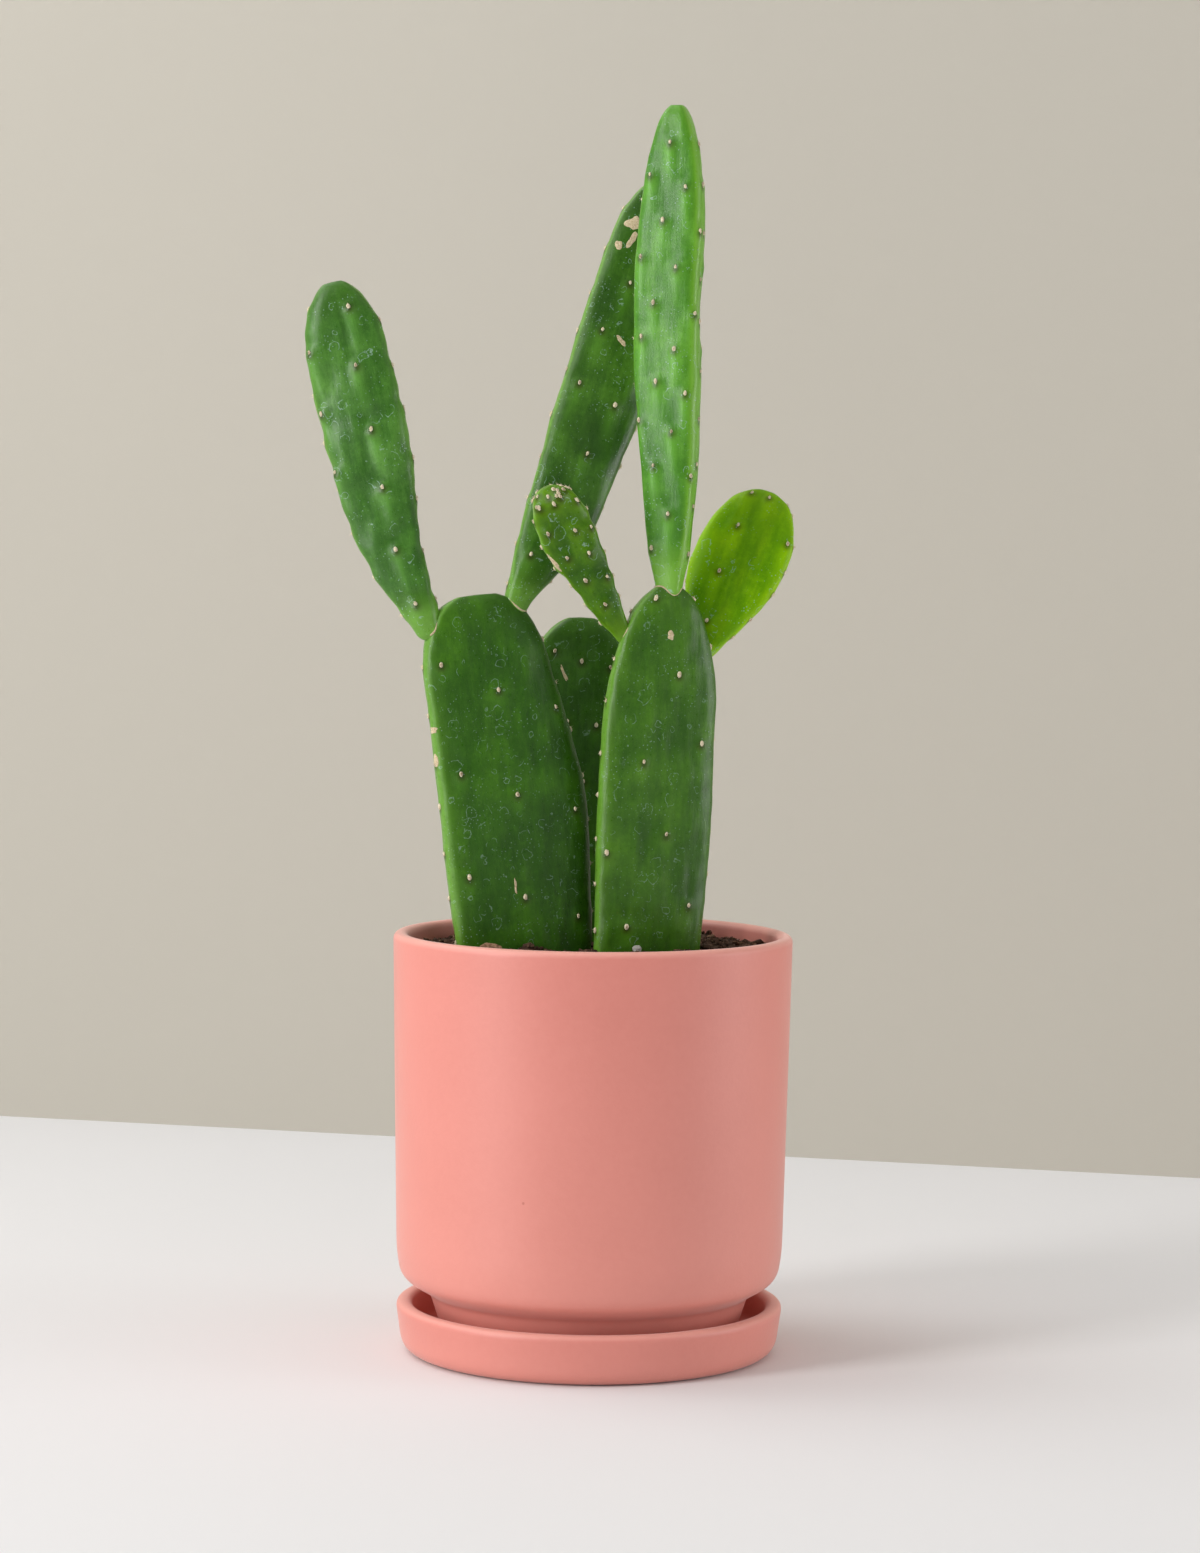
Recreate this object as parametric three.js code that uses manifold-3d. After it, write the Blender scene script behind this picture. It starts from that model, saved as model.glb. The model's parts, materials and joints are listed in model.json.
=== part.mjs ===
// Potted paddle cactus: eight flat pads, grown one from another, in a round
// glazed pot that stands on its saucer.
//
// Millimetres, +Z up. The origin is the middle of the saucer's flat underside,
// on the pot's axis. The front of the plant faces -Y.

import * as THREE from 'three';
import { mergeVertices } from 'three/addons/utils/BufferGeometryUtils.js';
import Module from 'manifold-3d';

const wasm = await Module();
wasm.setup();

// ---------------------------------------------------------------- dimensions

const GAP = 0.3;             // clearance kept where one solid is fitted round another
const AROUND = 48;           // flats round the turned pieces
const ARC_STEPS = 3;         // chords in each rounded corner of a turned profile

const pot = {
  height: 135,               // from its foot to the top of the lip
  rimRadius: 66.5,
  wall: 5.05,
  draft: 2.0,                // how much the side narrows from the rim to the shoulder
  shoulderInset: 1.7,        // rounding-in below the straight side
  shoulderHeight: 20.5,      // foot to the lower edge of the body
  sideStart: 29,             // foot to where the straight side begins
  overhang: 8.8,             // body's lower edge beyond the top of the foot
  footTaper: 5.5,            // how much the foot narrows downwards
  footHeight: 14,
  floor: 6,
  drainRadius: 7,
  baseEdge: 1.5,             // rounding round the underside of the foot
  footHollow: 2.5,           // how far the foot's side curves in below its top
  lowerEdge: 3.5,            // rounding under the body's lower edge
  cavityRound: 2.5,          // rounding inside at the shoulder
};

const saucer = {
  height: 16.8,
  wall: 5.65,
  floor: 5,
  waterGap: 10.55,           // from the pot's foot to the inside of the lip
  flare: 2.4,                // how much the side widens above its lower corner
  cornerRadius: 5.7,         // rounding between the side and the flat base
  innerCorner: 3.5,          // fillet between the floor and the lip
};

const soil = {
  drop: 4,                   // lip of the pot down to the soil at the plants
  wallDip: 0.9,              // how much lower the soil lies against the pot
};

// Each pad stands on its base: `length` is base to tip. Each station is
// [height above the base, sideways shift of the middle, half width, half thickness];
// `tipRound` is the height over which the outline closes in an ellipse.
const plants = [
  {
    name: 'lower_left_pad', x: -20.5, y: -14, buried: 28, tilt: -6.9, lean: 0, turn: 17,
    length: 146, tipRound: 30, baseRound: 14, color: 0x41702a,
    stations: [[0, 0, 17.5, 4.4], [28, 1.4, 23.2, 5.6], [75, 3.2, 25.3, 6.0],
      [104, 0.8, 23.1, 5.8], [120, -1.3, 21.6, 5.4], [146, -1.9, 21.2, 4.6]],
    shoots: [
      {
        name: 'upper_left_pad', below: 9.5, side: -1, face: 0, sink: 4,
        tilt: -8.0, lean: 0, turn: -8, length: 121.5, tipRound: 24, baseRound: 3, color: 0x4a7a30,
        stations: [[0, 0.6, 2.7, 2.5], [10, -2.2, 5.4, 3.4], [20, -4.4, 7.8, 4.0],
          [36, -6.1, 10.8, 4.6], [59, -6.4, 13.1, 4.9], [84, -5.8, 13.6, 4.7], [121.5, -5.0, 13.0, 4.0]],
        shoots: [],
      },
      {
        name: 'leaning_pad', below: 5, side: 1, face: 0, sink: 4,
        tilt: 22.6, lean: 14.5, turn: 17, length: 160, tipRound: 33, baseRound: 3, color: 0x4c7d30,
        stations: [[0, 0.4, 3.1, 2.7], [9, 1.3, 4.8, 3.5], [21, 4.4, 9.0, 4.2], [35, 6.3, 12.3, 4.6],
          [63, 7.0, 13.3, 4.8], [79, 8.0, 14.6, 4.8], [101, 7.9, 14.3, 4.7], [128, 7.6, 13.4, 4.3],
          [160, 7.2, 13.0, 3.8]],
        shoots: [],
      },
    ],
  },
  {
    name: 'lower_right_pad', x: 18.5, y: -12, buried: 28, tilt: 2.5, lean: 0, turn: 17,
    length: 148, tipRound: 45, baseRound: 14, color: 0x3d6a28,
    stations: [[0, -1.5, 14.2, 4.4], [28, -2.0, 18.3, 5.6], [60, -1.7, 19.2, 6.0],
      [85, -2.2, 19.7, 6.0], [105, -2.1, 18.9, 5.8], [148, -1.0, 18.8, 4.6]],
    shoots: [
      {
        name: 'tall_pad', below: 1.5, side: -0.1, face: 0, sink: 4,
        tilt: -1.8, lean: 0, turn: -22, length: 162, tipRound: 46, baseRound: 3, color: 0x4e7f31,
        stations: [[0, 0.4, 3.3, 2.7], [9, 0, 5.0, 3.4], [22, -0.4, 7.5, 4.0], [45, -0.9, 9.5, 4.5],
          [71, -2.4, 10.8, 4.7], [103, -2.8, 11.1, 4.6], [162, -1.0, 10.9, 3.8]],
        shoots: [],
      },
      {
        name: 'small_pad', below: 16, side: -1, face: 0, sink: 3.5,
        tilt: -27, lean: -20, turn: 12, length: 60, tipRound: 16, baseRound: 2, color: 0x457d3c,
        stations: [[0, -0.3, 2.2, 2.0], [10, -1.4, 4.3, 2.7], [27, -2.5, 7.8, 3.4],
          [39, -3.0, 8.9, 3.6], [60, -3.2, 8.8, 3.0]],
        shoots: [],
      },
      {
        name: 'young_pad', below: 24.5, side: 0.72, face: 1, sink: 3.5,
        tilt: 17.6, lean: 18, turn: -8, length: 68, tipRound: 22, baseRound: 2, color: 0x8fae4b,
        stations: [[0, 0, 3.0, 2.4], [7, 0.3, 4.4, 2.9], [18, 1.2, 9.4, 3.5], [29, 1.4, 13.6, 3.9],
          [39, 2.0, 15.9, 4.0], [49, 3.0, 15.3, 3.9], [68, 2.6, 15.0, 3.3]],
        shoots: [],
      },
    ],
  },
  {
    name: 'back_pad', x: -6.5, y: 22, buried: 28, tilt: 0.5, lean: 0, turn: 8,
    length: 136.5, tipRound: 36, baseRound: 14, color: 0x2f5a28,
    stations: [[0, 0, 14, 4.4], [28, 0, 18.5, 5.6], [70, 0, 22, 6.0], [100, 0, 22.5, 5.8],
      [136.5, 0, 21.5, 4.6]],
    shoots: [],
  },
];

const roots = {
  count: 5,                  // roots from each crown
  crownRadius: 7.5,
  crownHeight: 7,
  reach: 17,                 // sideways from the crown to each root's end
  depth: 52,                 // crown down to the roots' ends
  thickness: 2.0,            // radius of a root where it leaves the crown
  end: 0.7,                  // radius at its end
};

const barkChip = { length: 7.6, width: 4.0, height: 3.8, x: -33.5, fromPad: 3.4, turn: 12 };
const perliteGrain = { length: 3.4, width: 2.8, height: 2.8, x: 14.5, fromPad: 2.6, turn: 40 };

// Levels and radii that follow from the sizes above.
const potSeat = saucer.floor;
const rimHeight = potSeat + pot.height;
const soilLevel = rimHeight - soil.drop;
const bodyRadius = pot.rimRadius - pot.draft;
const shoulderRadius = bodyRadius - pot.shoulderInset;
const footTopRadius = shoulderRadius - pot.overhang;
const footRadius = footTopRadius - pot.footTaper;
const saucerInner = footRadius + saucer.waterGap;
const saucerOuter = saucerInner + saucer.wall;

// ------------------------------------------------------- solids and booleans

// A closed geometry with shared corners and no collapsed triangles.
function welded(geometry) {
  const bare = geometry.index ? geometry.toNonIndexed() : geometry.clone();
  bare.deleteAttribute('normal');
  bare.deleteAttribute('uv');
  const merged = mergeVertices(bare, 1e-4);
  const ids = merged.index.array;
  const kept = [];
  for (let i = 0; i < ids.length; i += 3) {
    const [a, b, c] = ids.slice(i, i + 3);
    if (a !== b && b !== c && c !== a) kept.push(a, b, c);
  }
  merged.setIndex(kept);
  return merged;
}

function toSolid(geometry, matrix) {
  const shared = welded(geometry);
  if (matrix) shared.applyMatrix4(matrix);
  return new wasm.Manifold(new wasm.Mesh({
    numProp: 3,
    vertProperties: new Float32Array(shared.attributes.position.array),
    triVerts: new Uint32Array(shared.index.array),
  }));
}

function toGeometry(solid) {
  const { vertProperties, triVerts } = solid.getMesh();
  const geometry = new THREE.BufferGeometry();
  geometry.setAttribute('position', new THREE.BufferAttribute(new Float32Array(vertProperties), 3));
  geometry.setIndex(new THREE.BufferAttribute(new Uint32Array(triVerts), 1));
  geometry.computeVertexNormals();
  return geometry;
}

// Carries a solid from one mesh's frame to another's.
function carried(solid, from, to) {
  const matrix = to.matrixWorld.clone().invert().multiply(from.matrixWorld);
  return solid.transform(matrix.elements);
}

function addMesh(group, name, geometry, { color, roughness = 0.6 }) {
  const mesh = new THREE.Mesh(geometry, new THREE.MeshStandardMaterial({ color, roughness, metalness: 0 }));
  mesh.name = name;
  group.add(mesh);
  return mesh;
}

// ------------------------------------------------------------- turned pieces

// Turns a profile of (radius, height) round the vertical axis.
function turned(profile) {
  return welded(new THREE.LatheGeometry(profile.getPoints(ARC_STEPS), AROUND).rotateX(Math.PI / 2));
}

// Draws the side of the cavity from the lip down to the floor, `inset` mm inside the pot's wall.
function cavityCorners(inset) {
  const thick = pot.wall + inset;
  return {
    lip: new THREE.Vector2(pot.rimRadius - thick, pot.height - pot.wall / 2),
    side: new THREE.Vector2(bodyRadius - thick, pot.sideStart + 2),
    shoulder: new THREE.Vector2(shoulderRadius - thick, pot.shoulderHeight + pot.wall),
    foot: new THREE.Vector2(footTopRadius - thick - 1, pot.footHeight + pot.wall),
    floor: new THREE.Vector2(footRadius - thick, pot.floor),
  };
}

function potProfile() {
  const lip = pot.wall / 2;
  const { side, shoulder, foot, floor } = cavityCorners(0);
  const path = new THREE.Path();
  path.moveTo(pot.drainRadius, 0);
  path.lineTo(footRadius - pot.baseEdge, 0);
  path.quadraticCurveTo(footRadius, 0, footRadius + 0.4, pot.baseEdge);
  path.quadraticCurveTo(footTopRadius - pot.footHollow, pot.footHeight - 4, footTopRadius, pot.footHeight);
  path.lineTo(shoulderRadius - pot.lowerEdge, pot.shoulderHeight - 1.5);
  path.quadraticCurveTo(shoulderRadius + 0.6, pot.shoulderHeight + 1, bodyRadius, pot.sideStart);
  path.lineTo(pot.rimRadius, pot.height - lip);
  path.absarc(pot.rimRadius - lip, pot.height - lip, lip, 0, Math.PI, false);
  path.lineTo(side.x, side.y);
  path.quadraticCurveTo(shoulder.x + 0.6, shoulder.y, shoulder.x - pot.cavityRound, shoulder.y - 2);
  path.lineTo(foot.x, foot.y);
  path.quadraticCurveTo(floor.x, floor.y, floor.x - 4, floor.y);
  path.lineTo(pot.drainRadius, pot.floor);
  path.lineTo(pot.drainRadius, 0);
  return path;
}

function saucerProfile() {
  const lip = saucer.wall / 2;
  const top = saucer.height - lip;
  const side = saucerOuter - saucer.flare;
  const path = new THREE.Path();
  path.moveTo(0, 0);
  path.lineTo(side - saucer.cornerRadius, 0);
  path.quadraticCurveTo(side, 0, side + 0.6, saucer.cornerRadius);
  path.lineTo(saucerOuter, top);
  path.absarc(saucerOuter - lip, top, lip, 0, Math.PI, false);
  path.lineTo(saucerInner - 0.8, saucer.floor + saucer.innerCorner);
  path.quadraticCurveTo(saucerInner - 1.2, saucer.floor, saucerInner - 1.2 - saucer.innerCorner, saucer.floor);
  path.lineTo(0, saucer.floor);
  return path;
}

// The soil fills the cavity, heaped a little towards the plants.
function soilProfile() {
  const { lip, side, shoulder, foot, floor } = cavityCorners(GAP);
  const top = pot.height - soil.drop;
  const edge = new THREE.Vector2().lerpVectors(side, lip, (top - soil.wallDip - side.y) / (lip.y - side.y));
  const path = new THREE.Path();
  path.moveTo(0, pot.floor);
  path.lineTo(floor.x - 5, pot.floor);
  path.quadraticCurveTo(floor.x - 0.8, floor.y + 0.6, foot.x, foot.y);
  path.lineTo(shoulder.x - pot.cavityRound, shoulder.y - 2);
  path.quadraticCurveTo(shoulder.x, shoulder.y, side.x, side.y);
  path.lineTo(edge.x, edge.y);
  path.quadraticCurveTo(edge.x * 0.75, top, edge.x * 0.5, top);
  path.lineTo(0, top + 0.3);
  return path;
}

// ---------------------------------------------------------------------- pads

// Reads column `k` of a pad's stations at a height, by straight steps eased at both ends.
function stationValue(stations, height, k) {
  let i = 1;
  while (i < stations.length - 1 && height > stations[i][0]) i += 1;
  const [low, high] = [stations[i - 1], stations[i]];
  const t = THREE.MathUtils.clamp((height - low[0]) / (high[0] - low[0]), 0, 1);
  return THREE.MathUtils.lerp(low[k], high[k], THREE.MathUtils.lerp(t, THREE.MathUtils.smoothstep(t, 0, 1), 0.5));
}

// Closes an outline as an ellipse over `round` mm before its end.
function endRound(toEnd, round) {
  const t = THREE.MathUtils.clamp(1 - toEnd / round, 0, 1);
  return Math.sqrt(1 - t * t);
}

const FLATNESS = 2.5;        // exponent of a pad's cross-section: 2 is an ellipse, more is flatter

// The middle and the half sizes of a pad at a height above its base, without its closed ends.
function padSection(pad, height) {
  const column = (k) => stationValue(pad.stations, height, k);
  return { shift: column(1), halfWidth: column(2), halfThickness: column(3) };
}

// A sphere drawn out into a pad: its latitude gives the height, its longitude
// the place round the flattened oval section. `grow` thickens it all round.
function padGeometry(pad, grow = 0) {
  const [around, along] = pad.length > 80 ? [20, 18] : [18, 14];
  const sphere = new THREE.SphereGeometry(1, around, along).rotateX(Math.PI / 2);
  const place = sphere.attributes.position;
  const thickRound = 2 * pad.stations.at(-1)[3];
  for (let i = 0; i < place.count; i += 1) {
    const height = (place.getZ(i) + 1) / 2 * pad.length;
    const angle = Math.atan2(place.getY(i), place.getX(i));
    const { shift, halfWidth, halfThickness } = padSection(pad, height);
    const [toTip, toBase] = [pad.length - height, height];
    const closeWide = endRound(toTip, pad.tipRound) * endRound(toBase, pad.baseRound);
    const closeThick = endRound(toTip, thickRound) * endRound(toBase, pad.baseRound);
    const [c, s] = [Math.cos(angle), Math.sin(angle)];
    const wide = Math.sign(c) * Math.abs(c) ** (2 / FLATNESS);
    const deep = Math.sign(s) * Math.abs(s) ** (2 / FLATNESS);
    const pole = closeWide < 1e-6;
    place.setXYZ(
      i,
      shift + (pole ? 0 : wide * (halfWidth * closeWide + grow)),
      pole ? 0 : deep * (halfThickness * closeThick + grow),
      height + grow * place.getZ(i),
    );
  }
  return welded(sphere);
}

// Where a shoot stands on its parent, in the parent's unturned frame.
function shootPlace(parent, shoot) {
  const height = parent.length - shoot.below;
  const { shift, halfWidth, halfThickness } = padSection(parent, height);
  const across = shift + shoot.side * halfWidth * endRound(shoot.below, parent.tipRound);
  const deep = shoot.face * halfThickness;
  const turn = THREE.MathUtils.degToRad(parent.turn);
  return new THREE.Vector3(
    across * Math.cos(turn) - deep * Math.sin(turn),
    across * Math.sin(turn) + deep * Math.cos(turn),
    height,
  );
}

// Stands a pad in a frame of its own, so that its shoots follow its tilt and lean.
// A pad's turn about its long axis is its mesh's alone. The base starts `sink` mm
// inside the parent, and is cut off at the parent's skin further on.
function growPad(parentGroup, pad, place, cuts, parentMesh, parent) {
  const frame = new THREE.Group();
  frame.position.copy(place);
  frame.rotation.set(-THREE.MathUtils.degToRad(pad.lean), THREE.MathUtils.degToRad(pad.tilt), 0);
  parentGroup.add(frame);
  const mesh = addMesh(frame, pad.name, padGeometry(pad), { color: pad.color, roughness: 0.5 });
  mesh.rotation.z = THREE.MathUtils.degToRad(pad.turn);
  if (parentMesh) {
    mesh.position.z = -pad.sink;
    cuts.push({ mesh, cutter: parentMesh, shape: padGeometry(parent, GAP) });
  }
  for (const shoot of pad.shoots) {
    growPad(frame, shoot, shootPlace(pad, shoot), cuts, mesh, pad);
  }
  return mesh;
}

// --------------------------------------------------------------------- roots

// A sphere drawn out along a curve, tapering from one radius to another.
function taperedRoot(curve, thick, thin, grow) {
  const root = new THREE.SphereGeometry(1, 5, 6).rotateX(Math.PI / 2);
  const place = root.attributes.position;
  for (let i = 0; i < place.count; i += 1) {
    const along = (place.getZ(i) + 1) / 2;
    const ring = Math.hypot(place.getX(i), place.getY(i));
    const radius = (THREE.MathUtils.lerp(thick, thin, along) + grow) * Math.min(1, ring * 2);
    const angle = Math.atan2(place.getY(i), place.getX(i));
    const centre = curve.getPoint(along);
    const bulge = ring < 1e-6 ? 0 : radius;
    place.setXYZ(
      i,
      centre.x + bulge * Math.cos(angle),
      centre.y + bulge * Math.sin(angle),
      centre.z - grow * place.getZ(i),
    );
  }
  const shaped = welded(root);
  shaped.index.array.reverse();
  return shaped;
}

// A crown under the buried end of a pad, with roots that bend out and down from it.
function rootSolid(grow = 0) {
  const crown = new THREE.SphereGeometry(1, 10, 6).rotateX(Math.PI / 2);
  crown.scale(roots.crownRadius + grow, roots.crownRadius * 0.6 + grow, roots.crownHeight / 2 + grow);
  crown.translate(0, 0, -roots.crownHeight / 2 - GAP);
  let solid = toSolid(crown);
  for (let i = 0; i < roots.count; i += 1) {
    const angle = (i + 0.3) / roots.count * 2 * Math.PI;
    const reach = roots.reach * (i % 2 ? 0.75 : 1);
    const depth = roots.depth * (i % 2 ? 1 : 0.8);
    const out = (share, down) => new THREE.Vector3(
      Math.cos(angle) * reach * share,
      Math.sin(angle) * reach * share,
      -GAP - roots.crownHeight / 2 - down,
    );
    const curve = new THREE.QuadraticBezierCurve3(out(0.15, 0), out(0.8, depth * 0.25), out(1, depth));
    solid = solid.add(toSolid(taperedRoot(curve, roots.thickness, roots.end, grow)));
  }
  return solid;
}

// -------------------------------------------------------------- loose pieces

// A rough lump lying on the soil: a coarse ball with its corners pushed in and out.
function lump({ length, width, height }, grow = 0) {
  const ball = new THREE.IcosahedronGeometry(1, 1);
  const place = ball.attributes.position;
  for (let i = 0; i < place.count; i += 1) {
    const [x, y, z] = [place.getX(i), place.getY(i), place.getZ(i)];
    const rough = 1 + 0.12 * Math.sin(5 * x + 3 * y) * Math.cos(4 * z - 2 * x);
    place.setXYZ(
      i,
      x * rough * (length / 2 + grow),
      y * rough * (width / 2 + grow),
      z * rough * (height / 2 + grow),
    );
  }
  return welded(ball);
}

// ------------------------------------------------------------------ assembly

const object = new THREE.Group();
const glaze = { color: 0xe8a291, roughness: 0.55 };

addMesh(object, 'saucer', turned(saucerProfile()), glaze);
addMesh(object, 'pot', turned(potProfile()), glaze).position.z = potSeat;
const soilMesh = addMesh(object, 'soil', turned(soilProfile()), { color: 0x3b2a20, roughness: 0.95 });
soilMesh.position.z = potSeat;

const cuts = [];
const soilCutters = [];
for (const plant of plants) {
  const place = new THREE.Vector3(plant.x, plant.y, soilLevel - plant.buried);
  const mesh = growPad(object, plant, place, cuts);
  soilCutters.push({ mesh, solid: toSolid(padGeometry(plant, GAP)) });
  const rootName = plant.name.replace('_pad', '_roots');
  const rootMesh = addMesh(object, rootName, toGeometry(rootSolid()), { color: 0xc9b08a, roughness: 0.8 });
  rootMesh.position.copy(place);
  soilCutters.push({ mesh: rootMesh, solid: rootSolid(GAP) });
}

// The loose pieces lie on the soil in front of the pads, half sunk in it.
for (const [name, piece, padName, color] of [
  ['bark_chip', barkChip, 'lower_left_pad', 0xb08a5c],
  ['perlite_grain', perliteGrain, 'lower_right_pad', 0xe9e6dc],
]) {
  const pad = plants.find((plant) => plant.name === padName);
  const turn = THREE.MathUtils.degToRad(pad.turn);
  const faceY = pad.y + (piece.x - pad.x) * Math.tan(turn)
    - padSection(pad, pad.buried).halfThickness / Math.cos(turn);
  const mesh = addMesh(object, name, lump(piece), { color, roughness: 0.9 });
  mesh.position.set(piece.x, faceY - piece.fromPad, soilLevel + piece.height * 0.3);
  mesh.rotation.z = THREE.MathUtils.degToRad(piece.turn);
  soilCutters.push({ mesh, solid: toSolid(lump(piece, GAP)) });
}

object.updateMatrixWorld(true);

for (const { mesh, cutter, shape } of cuts) {
  const cut = toSolid(mesh.geometry).subtract(carried(toSolid(shape), cutter, mesh));
  mesh.geometry = toGeometry(cut);
}

let earth = toSolid(soilMesh.geometry);
for (const { mesh, solid } of soilCutters) {
  earth = earth.subtract(carried(solid, mesh, soilMesh));
}
soilMesh.geometry = toGeometry(earth);

export default object;
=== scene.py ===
import json
import math
import bpy
import numpy as np
from mathutils import Matrix, Vector

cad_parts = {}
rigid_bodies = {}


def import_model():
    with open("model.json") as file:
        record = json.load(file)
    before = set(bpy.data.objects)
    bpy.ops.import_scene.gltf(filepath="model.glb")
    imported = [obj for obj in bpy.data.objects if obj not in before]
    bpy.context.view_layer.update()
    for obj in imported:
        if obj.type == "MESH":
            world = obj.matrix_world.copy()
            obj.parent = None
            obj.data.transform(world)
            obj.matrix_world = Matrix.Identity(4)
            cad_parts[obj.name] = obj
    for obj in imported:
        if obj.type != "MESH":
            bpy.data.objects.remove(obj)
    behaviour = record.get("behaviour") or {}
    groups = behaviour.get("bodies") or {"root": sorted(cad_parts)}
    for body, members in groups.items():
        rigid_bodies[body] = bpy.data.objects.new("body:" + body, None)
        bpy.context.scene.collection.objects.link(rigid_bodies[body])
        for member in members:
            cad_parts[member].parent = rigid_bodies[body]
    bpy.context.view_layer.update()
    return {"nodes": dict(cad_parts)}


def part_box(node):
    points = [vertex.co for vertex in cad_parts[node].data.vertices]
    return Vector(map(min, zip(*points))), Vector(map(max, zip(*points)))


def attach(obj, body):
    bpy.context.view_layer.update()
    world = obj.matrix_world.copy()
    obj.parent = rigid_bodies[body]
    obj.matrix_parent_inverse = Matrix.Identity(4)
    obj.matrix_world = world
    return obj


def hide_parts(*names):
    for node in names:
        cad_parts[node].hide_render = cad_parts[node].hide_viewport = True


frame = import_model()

MM = 0.001


# ---- Camera: at the height of the pads' joints, a little more than a metre in front of the
# pot, tipped down three degrees and turned a fraction of a degree about its own line of sight.

camera_data = bpy.data.cameras.new("camera")
camera_data.sensor_width = 36.0
camera_data.lens = 88.54
camera = bpy.data.objects.new("camera", camera_data)
camera.matrix_world = (
    Matrix.Translation((0.00015, -1.269, 0.2635))
    @ Matrix.Rotation(-0.0012, 4, "Z")
    @ Matrix.Rotation(math.pi / 2 - 0.0562, 4, "X")
    @ Matrix.Rotation(0.012, 4, "Z")
)
bpy.context.collection.objects.link(camera)
bpy.context.scene.camera = camera


# ---- Saucer: a shallow stoneware dish, thrown with a rounded lip and a flat base, and dipped
# in the same matte coral glaze as the pot. It stands on the table and the pot stands in it.

def grid_mesh(name, points, start=None, end=None, material=None):
    """Builds a closed skin from an array of rings, rings x around x 3. Each ring closes on
    itself. The first and last ring close on a pole point, or on each other where none is given.
    Going round anticlockwise seen from the last ring, the faces point outwards."""
    rings, around = points.shape[:2]
    ring = np.arange(around)
    across = np.roll(ring, -1)
    lower = np.arange(rings if start is None else rings - 1)
    upper = (lower + 1) % rings
    quads = np.stack([
        lower[:, None] * around + ring,
        lower[:, None] * around + across,
        upper[:, None] * around + across,
        upper[:, None] * around + ring,
    ], -1).reshape(-1, 4)
    corners = points.reshape(-1, 3)
    faces = quads.tolist()
    if start is not None:
        base = len(corners)
        corners = np.vstack([corners, start, end])
        last = (rings - 1) * around
        faces += np.stack([across, ring, np.full(around, base)], -1).tolist()
        faces += np.stack([last + ring, last + across, np.full(around, base + 1)], -1).tolist()
    mesh = bpy.data.meshes.new(name)
    mesh.from_pydata(corners.tolist(), [], faces)
    mesh.polygons.foreach_set("use_smooth", np.ones(len(mesh.polygons), bool))
    mesh.update()
    piece = bpy.data.objects.new(name, mesh)
    bpy.context.collection.objects.link(piece)
    mesh.materials.append(material)
    return piece


def rounded(corners, steps=10):
    """Turns corners of (radius, height, rounding) into a smooth profile: each corner with a
    rounding becomes a quadratic arc that starts and ends that far from it on its two sides."""
    profile = []
    for k, (x, z, bend) in enumerate(corners):
        here = np.array([x, z])
        if not bend:
            profile.append(here[None])
            continue
        before, after = (np.array(corners[k + step][:2]) for step in (-1, 1))
        ends = [here + (side - here) / np.linalg.norm(side - here) * bend for side in (before, after)]
        t = np.linspace(0, 1, steps)[:, None]
        profile.append((1 - t) ** 2 * ends[0] + 2 * t * (1 - t) * here + t ** 2 * ends[1])
    return np.vstack(profile)


def filled(profile, step):
    """Puts extra points on a profile's long straight stretches, evenly, `step` apart or less."""
    length = np.linalg.norm(np.diff(profile, axis=0), axis=1)
    parts = [
        a + (b - a) * np.linspace(0, 1, max(1, math.ceil(size / step)), endpoint=False)[:, None]
        for a, b, size in zip(profile[:-1], profile[1:], length)
    ]
    return np.vstack(parts + [profile[-1:]])


def thrown(profile, around, wobble=0.0, seed=0):
    """Turns a profile of (radius, height) round the pot's axis. The radius swells and shrinks
    by `wobble`, as two slow waves round the piece that drift with height: a hand-thrown wall."""
    random = np.random.default_rng(seed)
    angle = np.linspace(0, 2 * np.pi, around, endpoint=False)
    radius, height = profile[:, :1], profile[:, 1:]
    phase = random.uniform(0, 2 * np.pi, 2)
    wave = np.sin(2 * angle + phase[0] + height * 25) + np.sin(3 * angle + phase[1] - height * 18)
    radius = radius * (1 + 0 * angle) + wobble * wave * np.minimum(1, radius / 0.04)
    return np.stack([radius * np.cos(angle), radius * np.sin(angle), height + 0 * angle], -1)


def join(node, **values):
    """Fills in a shader node. A keyword in lower case sets a property of the node. Any other
    names an input, with _ for a space: a socket is linked to it, and anything else is set."""
    for key, value in values.items():
        if key[0].islower():
            setattr(node, key, value)
            continue
        target = node.inputs[key.replace("_", " ")]
        if isinstance(value, bpy.types.NodeSocket):
            node.id_data.links.new(value, target)
        else:
            target.default_value = value
    return node


def add(tree, kind, **values):
    """Adds a shader node and fills it in."""
    return join(tree.nodes.new("ShaderNode" + kind), **values)


def ramp(tree, factor, *stops):
    """A colour ramp from (place, colour) stops, read by a factor."""
    made = add(tree, "ValToRGB", Fac=factor)
    band = made.color_ramp
    while len(band.elements) < len(stops):
        band.elements.new(0.5)
    for element, (place, colour) in zip(band.elements, stops):
        element.position = place
        element.color = (*colour, 1)
    return made.outputs["Color"]


def level(tree, value, low, high, to_low=0.0, to_high=1.0):
    """Stretches a value from one range to another, and holds it at the ends."""
    made = add(tree, "MapRange", Value=value)
    for socket, number in zip(made.inputs[1:5], (low, high, to_low, to_high)):
        socket.default_value = number
    return made.outputs["Result"]


def mixed(tree, factor, one, two, blend="MIX"):
    """Mixes two colours by a factor, with a blend mode."""
    made = add(tree, "Mix", data_type="RGBA", blend_type=blend)
    for index, value in ((0, factor), (6, one), (7, two)):
        if isinstance(value, bpy.types.NodeSocket):
            tree.links.new(value, made.inputs[index])
        else:
            made.inputs[index].default_value = value if index == 0 else (*value, 1)
    return made.outputs[2]


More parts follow.
